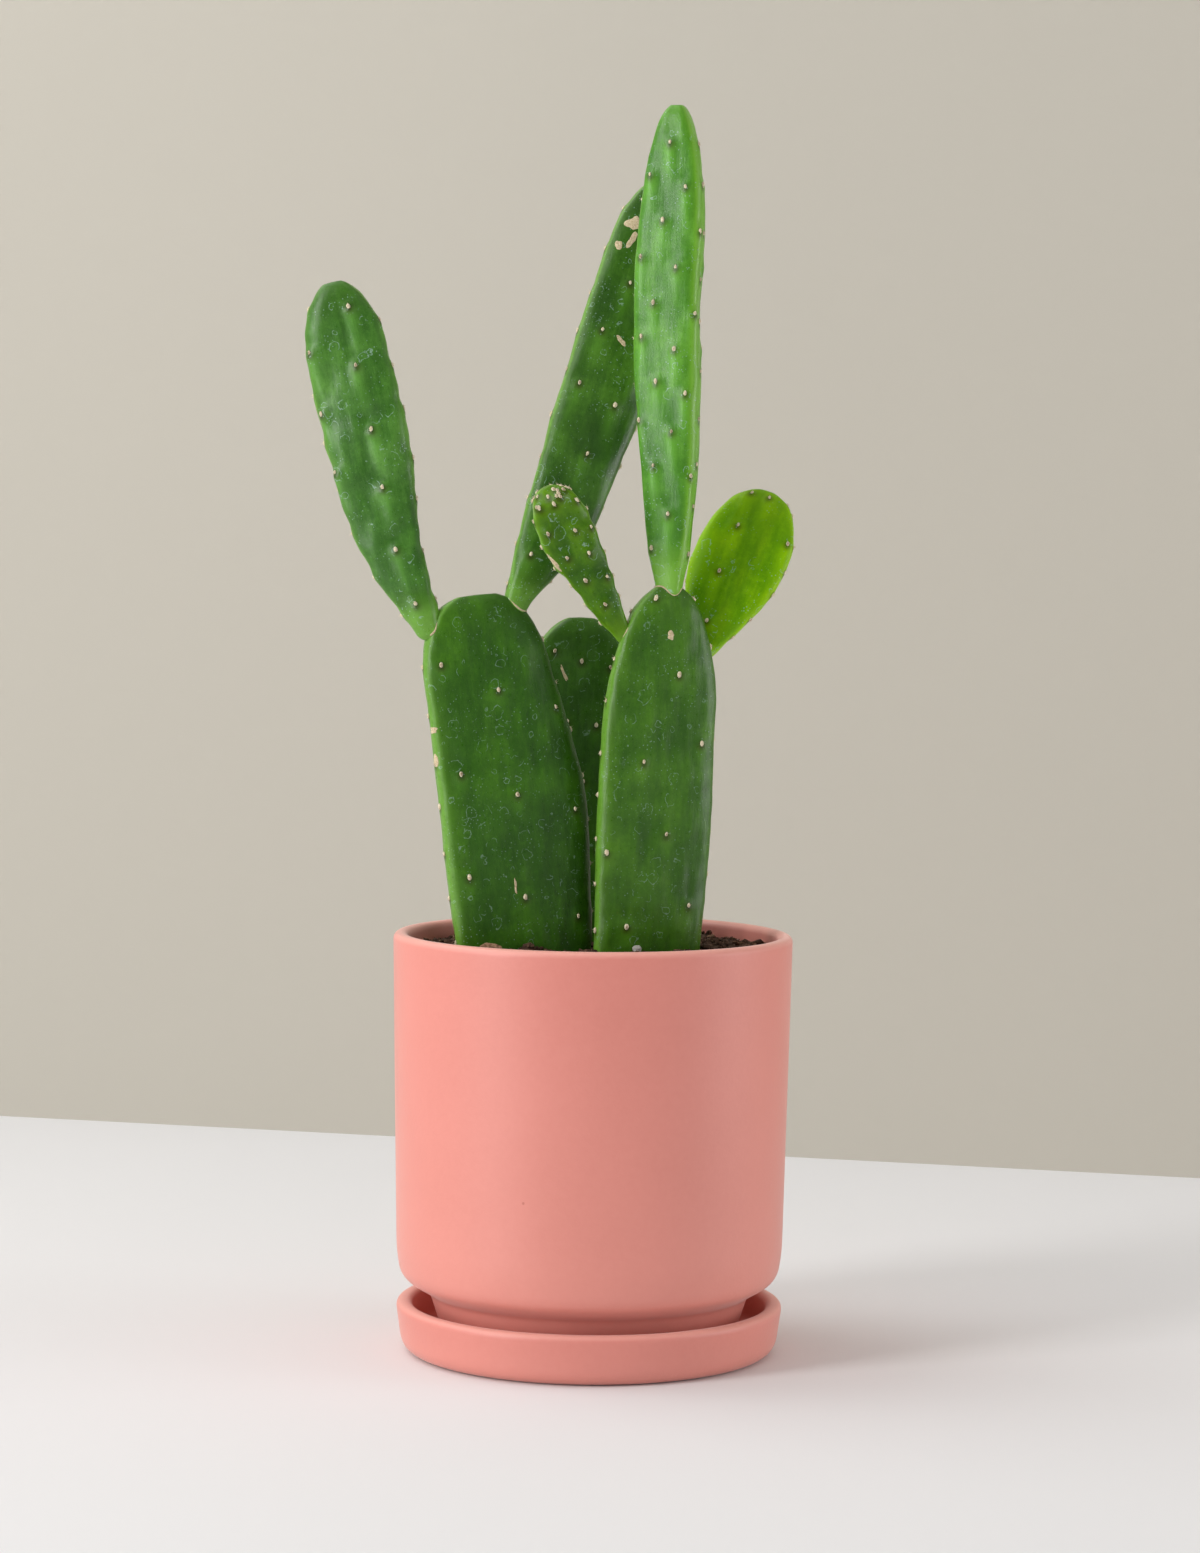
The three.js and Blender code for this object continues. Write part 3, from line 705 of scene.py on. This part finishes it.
def make_pad(name, plan, parent=None):
    """Makes one pad: a grid evenly spaced round the section and closer towards the ends,
    pushed out along its normals by the relief, with the marks and the painted light and shade
    for its colours. A nudge of up to 2 mm gives its top the modelled pad's height, and a rooted
    pad half its sideways shift."""
    plan["name"], plan["parent"] = name, parent
    plan["frame"] = pad_frame(plan, parent)
    sunk = plan["frame"] @ Matrix.Translation((0, 0, -plan["sink"]))
    plan["matrix"] = sunk @ Matrix.Rotation(math.radians(plan["turn"]), 4, "Z")
    plan["nudge"] = np.zeros(3)
    plan["areoles"] = areole_places(plan)
    around, rings = plan["grid"]
    place = (np.arange(around) / around - 0.5)[None, :]
    share = np.linspace(0.012, 0.988, rings)[:, None]
    height = plan["length"] * (0.45 * share + 0.55 * (1 - np.cos(np.pi * share)) / 2)
    place, height = np.broadcast_arrays(place, height)
    skin = smooth_skin(plan, place, height)
    relief, painted_areole_shadow, streak = pad_relief(plan, place, height)
    ends = np.clip(np.minimum(height, plan["length"] - height) / 6, 0, 1)
    skin = skin + skin_normal(plan, place, height) * (relief * ends)[..., None]
    base_pole, tip_pole = skin[0].mean(0), skin[-1].mean(0) + [0, 0, 0.25]
    base_pole[2] = 0

    low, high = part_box(name)
    flat = placed(plan, skin).reshape(-1, 3)
    upwards = high.z - flat[:, 2].max()
    if parent is None:
        plan["nudge"][:2] = (np.array(low + high) - flat.min(0) - flat.max(0))[:2] / 4
    if abs(upwards) < 2 * MM:
        plan["nudge"][2] = upwards
    pad = grid_mesh(name + "_skin", placed(plan, skin), placed(plan, base_pole), placed(plan, tip_pole),
                    pad_skin_material(name.replace("_", " ") + " skin", plan))

    # Where the skin is fresher, and where it carries a painted highlight. The tip and base are
    # fresher. The margins are partly fresher and partly painted highlight, brighter on the left.
    # Widths are shares of the way round, and 0.25 is the right margin.
    margin = np.exp(-((np.abs((place + 0.5) % 0.5 - 0.25)) / 0.042) ** 2)
    # The right margins keep only part of the band, as if lit from the left: painted light.
    margin = margin * np.where(place < 0, 1.0, plan["right_edge_light"])
    # A band just in front of the left margin: a painted highlight.
    margin = np.maximum(margin, np.exp(-((place + 0.236) / 0.044) ** 2))
    tip_zone = np.clip(1 - (plan["length"] - height) / 16, 0, 1)
    base_zone = np.clip((plan["fresh_base"] - height) / 12, 0, 1)
    # A pale band along the front right, on a pad that asks for it: a painted highlight along a ridge.
    crest_highlight = np.exp(-((place - 0.185) / 0.028) ** 2) * plan["crest_highlight"]
    fresh_and_highlight = np.clip(margin + 0.35 * tip_zone + base_zone + crest_highlight, 0, 1)
    marks_and_painted_light = np.vstack([np.stack([painted_areole_shadow, streak, fresh_and_highlight], -1).reshape(-1, 3), [[0, 0, 1], [0, 0, 0.5]]])
    growth = np.vstack([skin.reshape(-1, 3), base_pole, tip_pole]) + plan["seed"] * 37.0
    # The relief, scaled, kept only to paint shade in the hollows and highlight on the rises.
    painted_relief_light = np.append((relief / (plan["bump"] + plan["wave"])).ravel(), [0, 0])
    pad.data.attributes.new("painted_relief_light", "FLOAT", "POINT").data.foreach_set("value", painted_relief_light)
    for label, values in (("marks_and_painted_light", marks_and_painted_light), ("growth", growth)):
        pad.data.attributes.new(label, "FLOAT_VECTOR", "POINT").data.foreach_set("vector", values.ravel())
    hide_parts(name)
    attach(pad, "root")


# A pad's plan, in millimetres and degrees, says how it grew:
#   stations: (height, middle, half width, half thickness) from its foot to its tip
#   base, tip, shoulders: how far its two ends round off, and how square the upper one is
#   steps, first, margin, clear, crowd: the areoles' lattice, their spacing up the margins, the
#       bare height above the foot, and how many crowd the tip
#   wave, bump, rib, ridge: slow waves, areole bumps, the ridges under them and their length
#   below, side, face, sink: where the foot is on the parent's edge, and how deep it grows in
#   greens, edge, margin_highlight, gloss, dusty, fresh_base, crest_highlight, right_edge_light:
#       the look of its skin, with a painted highlight on the margins and along a crest, and the
#       share of the margin colour and painted highlight that the right margin keeps
old_skin = dict(slot="mature_pad_skin", flat=3.0, base=14, grid=(176, 210), wave=0.28, bump=0.35, rib=0.10,
                ridge=9, buried=28, sink=0, lean=0, clear=30, fresh_base=0, margin=15, crowd=0,
                shoulders=2.0, right_edge_light=0.3, crest_highlight=0, areole=0.88,
                edge=0.6, gloss=0.32, margin_highlight=0.6, dusty=0.36)
lower_left_pad = dict(
    old_skin, x=-20.5, y=-14, tilt=-6.9, turn=17, length=146, tip=30, seed=11, shoulders=2.35,
    stations=[(0, 0, 17.5, 4.4), (28, 1.4, 23.2, 5.6), (75, 3.2, 25.3, 6.0), (104, 0.8, 23.1, 5.8),
              (120, -1.3, 21.6, 5.4), (146, -1.9, 21.2, 4.6)],
    steps=((17.3, -8.8), (-0.8, -34.8)), first=(1, 114.5),
    greens=((0.018, 0.079, 0.002), (0.030, 0.117, 0.003), (0.058, 0.188, 0.006)),
)
lower_right_pad = dict(
    old_skin, x=18.5, y=-12, tilt=2.5, turn=17, length=148, tip=45, seed=23,
    stations=[(0, -1.5, 14.2, 4.4), (28, -2.0, 18.3, 5.6), (60, -1.7, 19.2, 6.0), (85, -2.2, 19.7, 6.0),
              (105, -2.1, 18.9, 5.8), (148, -1.0, 18.8, 4.6)],
    steps=((9, -23.3), (-9.8, -30)), first=(3.4, 119),
    greens=((0.025, 0.094, 0.004), (0.043, 0.140, 0.006), (0.076, 0.212, 0.011)),
)
back_pad = dict(
    old_skin, x=-6.5, y=22, tilt=0.5, turn=8, length=136.5, tip=36, seed=37, areole=0.85,
    stations=[(0, 0, 14, 4.4), (28, 0, 18.5, 5.6), (70, 0, 22, 6.0), (100, 0, 22.5, 5.8),
              (136.5, 0, 21.5, 4.6)],
    steps=((9, -2), (4, 20)), first=(0, 122),
    greens=((0.022, 0.080, 0.005), (0.040, 0.128, 0.008), (0.066, 0.19, 0.014)),
)
make_pad("lower_left_pad", lower_left_pad)
make_pad("lower_right_pad", lower_right_pad)
make_pad("back_pad", back_pad)


# ---- Shoots: five younger pads, each grown out of an older pad's edge or face on a narrow
# base. They are thinner and a fresher green, ribbed below each areole where the flesh has
# risen; the youngest, on the right, is a bright yellow green.

young_form = dict(slot="upper_pad_skin", flat=2.7, base=3, sink=4, grid=(152, 230), wave=0.46, bump=0.7,
                  rib=0.8, ridge=17, clear=7, fresh_base=20, margin=15, crowd=0, shoulders=2.0,
                  right_edge_light=0.75, crest_highlight=0, areole=0.85, edge=0.5, gloss=0.38, margin_highlight=0.3, dusty=0.5)
upper_left_pad = dict(
    young_form, below=9.5, side=-1, face=0, tilt=-6.9, lean=0, turn=-8, length=121.5, tip=24, seed=41,
    stations=[(0, 0.6, 2.7, 2.5), (10, -2.2, 5.4, 3.4), (20, -4.4, 7.8, 4.0), (36, -6.1, 10.8, 4.6),
              (59, -6.4, 13.1, 4.9), (84, -5.8, 13.6, 4.7), (121.5, -5.0, 13.0, 4.0)],
    steps=((12, -8.3), (-0.7, -20)), first=(3.2, 92),
    greens=((0.024, 0.100, 0.006), (0.044, 0.160, 0.012), (0.100, 0.275, 0.034)),
    dusty=0.55, margin_highlight=0.45,
)
leaning_pad = dict(
    young_form, below=5, side=0.9, face=0, tilt=22.6, lean=14.5, turn=17, length=160, tip=33, seed=53,
    stations=[(0, 0.4, 3.1, 2.7), (9, 1.3, 4.8, 3.5), (21, 4.4, 9.0, 4.2), (35, 6.3, 12.3, 4.6),
              (63, 7.0, 13.3, 4.8), (79, 8.0, 14.6, 4.8), (101, 7.9, 14.3, 4.7), (128, 7.6, 13.4, 4.3),
              (160, 7.2, 13.0, 3.8)],
    steps=((13, -3), (3, 19)), first=(1, 60), wave=0.26, rib=0.3, bump=0.4,
    greens=((0.019, 0.077, 0.003), (0.034, 0.119, 0.005), (0.074, 0.21, 0.015)),
    dusty=0.45, margin_highlight=0.5,
)
# The tall pad carries a painted highlight along its right crest.
tall_pad = dict(
    young_form, below=1.5, side=-0.1, face=0, tilt=-1.8, lean=0, turn=-22, length=162, tip=46, seed=61,
    flat=4.0, crest_highlight=1.0, wave=0.32, rib=0.5, bump=0.45, areole=0.8,
    stations=[(0, 0.4, 3.3, 2.7), (9, 0, 5.0, 3.4), (22, -0.4, 7.5, 4.0), (45, -0.9, 9.5, 4.5),
              (71, -2.4, 10.8, 4.7), (103, -2.8, 11.1, 4.6), (162, -1.0, 10.9, 3.8)],
    steps=((4.3, -15), (9.3, -3.5)), first=(0, 150),
    greens=((0.033, 0.155, 0.004), (0.056, 0.225, 0.007), (0.125, 0.36, 0.030)),
    edge=0.9, dusty=0.62, margin_highlight=0.6,
)
small_pad = dict(
    young_form, below=16, side=-1, face=0, sink=3.5, tilt=-27, lean=-20, turn=12, length=60, tip=16,
    base=2, seed=71, areole=0.75,
    stations=[(0, -0.3, 2.2, 2.0), (10, -1.4, 4.3, 2.7), (27, -2.5, 7.8, 3.4), (39, -3.0, 8.9, 3.6),
              (60, -3.2, 8.8, 3.0)],
    steps=((6.3, -2.2), (1.6, -10)), first=(0, 54), grid=(128, 150), margin=8, ridge=6, rib=0.25,
    fresh_base=13, crowd=22,
    greens=((0.025, 0.094, 0.001), (0.043, 0.140, 0.001), (0.11, 0.27, 0.003)),
    edge=0.9, gloss=0.22, margin_highlight=0.5,
)
young_pad = dict(
    young_form, below=24.5, side=0.72, face=1, sink=3.5, tilt=17.6, lean=18, turn=-8, length=68, tip=22,
    base=2, seed=83, slot="young_pad_skin", areole=0.75,
    stations=[(0, 0, 3.0, 2.4), (7, 0.3, 4.4, 2.9), (18, 1.2, 9.4, 3.5), (29, 1.4, 13.6, 3.9),
              (39, 2.0, 15.9, 4.0), (49, 3.0, 15.3, 3.9), (68, 2.6, 15.0, 3.3)],
    steps=((16, -1), (1, -17)), first=(-4, 52), grid=(144, 160), margin=9, bump=0.3, rib=0.15,
    fresh_base=12, crowd=7,
    greens=((0.085, 0.26, 0.0), (0.135, 0.35, 0.0), (0.26, 0.52, 0.001)),
    edge=0.8, gloss=0.12,
)
make_pad("upper_left_pad", upper_left_pad, lower_left_pad)
make_pad("leaning_pad", leaning_pad, lower_left_pad)
make_pad("tall_pad", tall_pad, lower_right_pad)
make_pad("small_pad", small_pad, lower_right_pad)
make_pad("young_pad", young_pad, lower_right_pad)


# ---- Areoles: the cactus's small felted cushions, cream with a tan or red-brown middle, each
# with a few short bristles. They sit proud on their bumps all over the faces and margins.

def felt_material(name, pale, tan, core):
    """Dry felt: cream and tan by fine noise, browner towards each cushion's middle, where the
    `middle` attribute is 1, with no gloss and a fuzzy sheen."""
    material, tree, shader = new_material(name)
    place = add(tree, "TexCoord").outputs["Object"]
    fuzz = noise(tree, place, 2200.0, 4.0, 0.7)
    body = mixed(tree, level(tree, fuzz, 0.35, 0.65), tan, pale)
    middle = add(tree, "Attribute", attribute_name="middle").outputs["Fac"]
    cored = maths(tree, "MULTIPLY", middle, level(tree, noise(tree, place, 70.0, 1.0), 0.46, 0.6, 0.0, 0.85))
    join(shader, Base_Color=mixed(tree, cored, body, core), Roughness=0.95, Sheen_Weight=0.3,
         Normal=bump(tree, fuzz, 0.6, 0.0003))
    return material


felt = felt_material("areole felt", (0.86, 0.80, 0.60), (0.56, 0.43, 0.25), (0.17, 0.07, 0.03))


def skin_axes(plan, place, height):
    """At points on a pad's skin: outward, up along the growth, and across, all unit length."""
    out = skin_normal(plan, place, height)
    up = smooth_skin(plan, place, height + 0.3) - smooth_skin(plan, place, height - 0.3)
    up = up / np.linalg.norm(up, axis=-1, keepdims=True)
    across = np.cross(up, out)
    return out, np.cross(out, across), across


def make_areoles(plan, bristles=5):
    """All the areoles of one pad: half-sunk egg-shaped domes, longer along the growth, dented
    by their own waves, and thin cones for bristles that lean outwards and up."""
    random = np.random.default_rng(plan["seed"] + 5)
    place, height = plan["areoles"].T
    count, size = len(place), plan["areole"]
    out, up, across = skin_axes(plan, place, height)
    relief = pad_relief(plan, place, height)[0]
    relief *= np.clip((plan["length"] - height) / 6, 0, 1)
    centre = smooth_skin(plan, place, height) + out * relief[:, None]
    ball = lump_shape(4, 9)
    sizes = size * random.uniform(0.75, 1.15, (count, 1, 1, 1)) * [0.72, 1.1, 0.55]
    dome = ball[None] * dents(ball, count, 0.16, random) * sizes
    axes = np.stack([across, up, out], 1)
    shape = np.einsum("nrai,nij->nraj", dome, axes) + (centre + out * 0.05)[:, None, None]
    middle = np.clip(1.5 - np.hypot(dome[..., 0] / 0.5, dome[..., 1] / 0.7) * 1.5, 0, 1) * (dome[..., 2] > 0)
    cushions = many(plan["name"] + "_areoles", placed(plan, shape), felt)
    middles = np.concatenate([middle.reshape(count, -1), np.zeros((count, 1)), np.ones((count, 1))], 1)
    cushions.data.attributes.new("middle", "FLOAT", "POINT").data.foreach_set("value", middles.ravel())
    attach(cushions, "root")

    total = count * bristles
    lean = random.normal(0, 0.5, (total, 2)) + [0, 0.35]
    source = np.repeat(np.arange(count), bristles)
    aim = out[source] + lean[:, :1] * across[source] + lean[:, 1:] * up[source]
    aim /= np.linalg.norm(aim, axis=1)[:, None]
    side = np.cross(aim, up[source] + 0.01)
    side /= np.linalg.norm(side, axis=1)[:, None]
    other = np.cross(aim, side)
    turn = (np.arange(3) * 2 * np.pi / 3)[:, None]
    rim = side[:, None] * np.cos(turn) + other[:, None] * np.sin(turn)
    along = np.array([0.0, 0.5])[:, None, None]
    thick = np.array([0.055, 0.035])[:, None, None]
    long = size * random.uniform(0.8, 1.9, (total, 1, 1, 1))
    root = centre[source] + random.normal(0, 0.3, (total, 1)) * up[source]
    cones = root[:, None, None] + aim[:, None, None] * along * long + rim[:, None] * thick
    tips = placed(plan, root + aim * long[:, 0, 0])
    hairs = many(plan["name"] + "_bristles", placed(plan, cones), felt, tips)
    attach(hairs, "root")


for pad_plan in (lower_left_pad, lower_right_pad, back_pad,
                 upper_left_pad, leaning_pad, tall_pad, small_pad, young_pad):
    make_areoles(pad_plan)


# ---- Collars and scars: a thin cream line of cork where each shoot leaves its parent's skin,
# and the tan scabs and scratches that the older skin has healed with.

cork = felt_material("cork and scab", (0.74, 0.62, 0.42), (0.46, 0.34, 0.18), (0.30, 0.17, 0.09))


def leaving_curve(plan, parent, samples=72):
    """Where a shoot leaves its parent: from each place round the shoot's base, the first point
    up the shoot that lies outside the parent's flattened oval. Millimetres in the pot's frame."""
    place = (np.arange(samples) / samples - 0.5)[:, None]
    height = np.linspace(0.4, 16, 160)[None, :]
    whole, home = np.array(plan["matrix"]), np.linalg.inv(np.array(parent["matrix"]))
    points = smooth_skin(plan, *np.broadcast_arrays(place, height)) @ whole[:3, :3].T + whole[:3, 3]
    x, y, z = np.moveaxis(points @ home[:3, :3].T + home[:3, 3], -1, 0)
    middle, wide, thick = section(parent, np.clip(z, 0.5, parent["length"] - 0.01))
    oval = np.abs((x - middle) / wide) ** parent["flat"] + np.abs(y / thick) ** parent["flat"]
    inside = (oval < 1) & (z < parent["length"])
    last = height.shape[1] - 1
    first = np.where(inside.all(1) | ~inside.any(1), 0, last - np.argmax(inside[:, ::-1], 1))
    curve = points[np.arange(samples), np.minimum(first + 1, last)]
    return sum(np.roll(curve, step, 0) for step in (-2, -1, 0, 1, 2)) / 5


def collar(plan, thick=0.3):
    """A closed tube along the leaving curve, its radius made uneven by waves."""
    curve = leaving_curve(plan, plan["parent"])
    ahead = np.roll(curve, -1, 0) - np.roll(curve, 1, 0)
    ahead /= np.linalg.norm(ahead, axis=1)[:, None]
    out = curve - curve.mean(0)
    out -= (out * ahead).sum(1)[:, None] * ahead
    out /= np.linalg.norm(out, axis=1)[:, None]
    up = np.cross(ahead, out)
    angle = np.linspace(0, 2 * np.pi, 10, endpoint=False)[None, :, None]
    radius = thick * (1 + 0.28 * waves(curve, 2.2, 8, plan["seed"] + 9))[:, None, None]
    tube = curve[:, None] + radius * (out[:, None] * np.cos(angle) + up[:, None] * np.sin(angle))
    ring = grid_mesh(plan["name"] + "_collar", tube * MM + plan["parent"]["nudge"], material=cork)
    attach(ring, "root")


for pad_plan in (upper_left_pad, leaning_pad, tall_pad, small_pad, young_pad):
    collar(pad_plan)


def scar(name, plan, place, height, size, seed, turn=0.0):
    """A healed scab: a thin lens laid on the skin round a point, its outline cut by waves and
    its top uneven. `size` is across and up, `turn` leans its long way."""
    polar = np.linspace(0, 2 * np.pi, 44, endpoint=False)[None, :]
    share = np.array([0.93, 1.0, 0.94, 0.82, 0.66, 0.48, 0.3, 0.13])[:, None]     # buried ring first
    circle = np.stack([np.cos(polar), np.sin(polar)], -1)
    edge = 1 + 0.26 * waves(circle, 1.7, 6, seed)
    x, y = share * edge * np.cos(polar) * size[0], share * edge * np.sin(polar) * size[1]
    x, y = x * math.cos(turn) - y * math.sin(turn), x * math.sin(turn) + y * math.cos(turn)
    girth = 4.2 * float(section(plan, height)[1])
    where = (place + x / girth, height + y)
    relief = pad_relief(plan, *where)[0]
    top = 0.16 * (1 - share ** 4) * (1 + 0.5 * waves(np.stack([x, y], -1), 0.9, 8, seed + 1)) + 0.03
    rise = relief + np.where(np.arange(len(share))[:, None] == 0, -0.3, top)
    lens = smooth_skin(plan, *where) + skin_normal(plan, *where) * rise[..., None]
    points = placed(plan, lens)
    scab = grid_mesh(name, points, points[0].mean(0), points[-1].mean(0), cork)
    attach(scab, "root")


scar("margin_scar_upper", lower_left_pad, -0.236, 103, (2.0, 1.1), 101)
scar("margin_scar_lower", lower_left_pad, -0.238, 93, (1.3, 2.0), 102)
scar("lower_left_scratch", lower_left_pad, -0.03, 49, (0.35, 2.6), 103)
scar("lower_right_scab", lower_right_pad, 0.0, 131, (1.1, 1.3), 104, 0.5)
scar("back_scratch", back_pad, -0.07, 117, (0.4, 2.6), 105, 0.5)
scar("leaning_scab_top", leaning_pad, -0.118, 140, (2.3, 2.4), 106, 0.4)
scar("leaning_scab_side", leaning_pad, -0.10, 134, (1.0, 3.0), 107, -0.2)
scar("leaning_scab_low", leaning_pad, -0.155, 131, (0.9, 1.7), 108, 0.2)
scar("leaning_scab_middle", leaning_pad, 0.0, 100, (1.7, 0.8), 109, -0.7)
scar("small_edge_strip", small_pad, -0.205, 36, (0.7, 3.4), 110, 0.15)


# ---- Bark chip and grit: the two larger loose bits on the soil at the pot's front edge, a
# chip of composted pine bark and a grain of perlite.

def loose_bit(name, node, colours, seed):
    """A broken lump: a ball stretched to the modelled piece's box, its radius cut by waves."""
    low, high = (np.array(corner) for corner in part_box(node))
    ball = lump_shape(22, 40)
    rough = 1 + 0.10 * waves(ball, 1.1, 8, seed) + 0.02 * waves(ball, 0.5, 12, seed + 1)
    shape = ball * rough[..., None]
    shape = shape / np.abs(shape).reshape(-1, 3).max(0)
    shape = (low + high) / 2 + shape * (high - low) / 2
    bit = grid_mesh(node + "_bit", shape, shape[0].mean(0), shape[-1].mean(0),
                    soil_colours(name, *colours))
    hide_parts(node)
    return bit


chip = loose_bit("pine bark", "bark_chip", ((0.12, 0.06, 0.03), (0.34, 0.2, 0.12), 1.5 * MM), 91)
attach(chip, "root")
grain = loose_bit("perlite", "perlite_grain", ((0.36, 0.34, 0.31), (0.50, 0.48, 0.44), 1.0 * MM), 92)
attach(grain, "root")


# ---- Stage: a plain pale table top in front of a plain warm grey wall, which stands half a
# metre behind the pot and is turned a little. The wall shows only from its front.

def stage_material(name, colour, hidden_back=False):
    """Matt paint with a barely visible mottle, see-through from behind if asked."""
    material, tree, shader = new_material(name)
    place = add(tree, "TexCoord").outputs["Object"]
    tint = noise(tree, place, 3.0, 2.0)
    join(shader, Base_Color=ramp(tree, tint, (0.3, tuple(0.985 * c for c in colour)), (0.7, colour)),
         Roughness=0.9, Specular_IOR_Level=0.1)
    if hidden_back:
        blend = add(tree, "MixShader", Fac=add(tree, "NewGeometry").outputs["Backfacing"])
        tree.links.new(shader.outputs["BSDF"], blend.inputs[1])
        tree.links.new(add(tree, "BsdfTransparent").outputs["BSDF"], blend.inputs[2])
        join(tree.nodes["Material Output"], Surface=blend.outputs["Shader"])
    return material


def panel(name, corners, material):
    """One flat four-sided stage panel."""
    mesh = bpy.data.meshes.new(name)
    mesh.from_pydata(corners, [], [(0, 1, 2, 3)])
    mesh.materials.append(material)
    made = bpy.data.objects.new(name, mesh)
    bpy.context.collection.objects.link(made)


WALL_TURN = math.radians(-14.7)
WALL_MIDDLE = Vector((0.0, 0.442, 0.0))
wall_reach = 4 * Vector((math.cos(WALL_TURN), math.sin(WALL_TURN), 0.0))
wall_foot, wall_top = Vector((0, 0, -0.01)), Vector((0, 0, 3.5))
wall_left, wall_right = WALL_MIDDLE - wall_reach, WALL_MIDDLE + wall_reach
panel("floor", [(-6, -6, 0), (6, -6, 0), (6, 6, 0), (-6, 6, 0)],
      stage_material("pale table", (0.77, 0.765, 0.77)))
panel("wall", [wall_left + wall_foot, wall_right + wall_foot, wall_right + wall_top, wall_left + wall_top],
      stage_material("warm grey wall", (0.505, 0.477, 0.415), hidden_back=True))


# ---- Light: a large soft window on the left and a little to the front, a skylight high on the
# left, a weak card on the right, and a pale room all round that is darker on the camera's side.

def softbox(name, place, aim, size, power):
    """A flat white area light at a place, facing a point."""
    data = bpy.data.lights.new(name, "AREA")
    data.shape = "RECTANGLE"
    data.size, data.size_y = size
    data.energy = power
    lamp = bpy.data.objects.new(name, data)
    facing = (Vector(aim) - Vector(place)).to_track_quat("-Z", "Y")
    lamp.matrix_world = Matrix.Translation(place) @ facing.to_matrix().to_4x4()
    bpy.context.collection.objects.link(lamp)


softbox("window", (-1.4, -0.95, 0.72), (0, 0, 0.25), (0.45, 1.5), 21)
softbox("skylight", (-0.7, 0.3, 1.25), (0, 0, 0.1), (0.9, 0.9), 6)
softbox("card", (1.1, 0.12, 0.26), (0, 0, 0.12), (1.1, 0.45), 7.5)
world = bpy.data.worlds.new("pale room")
world.use_nodes = True
room = world.node_tree
depth = add(room, "SeparateXYZ", Vector=add(room, "TexCoord").outputs["Generated"]).outputs["Y"]
join(room.nodes["Background"], Color=(1.0, 0.99, 0.985, 1),
     Strength=level(room, depth, -0.85, 0.05, 0.28, 1.0))
bpy.context.scene.world = world
bpy.context.scene.view_settings.view_transform = "Standard"
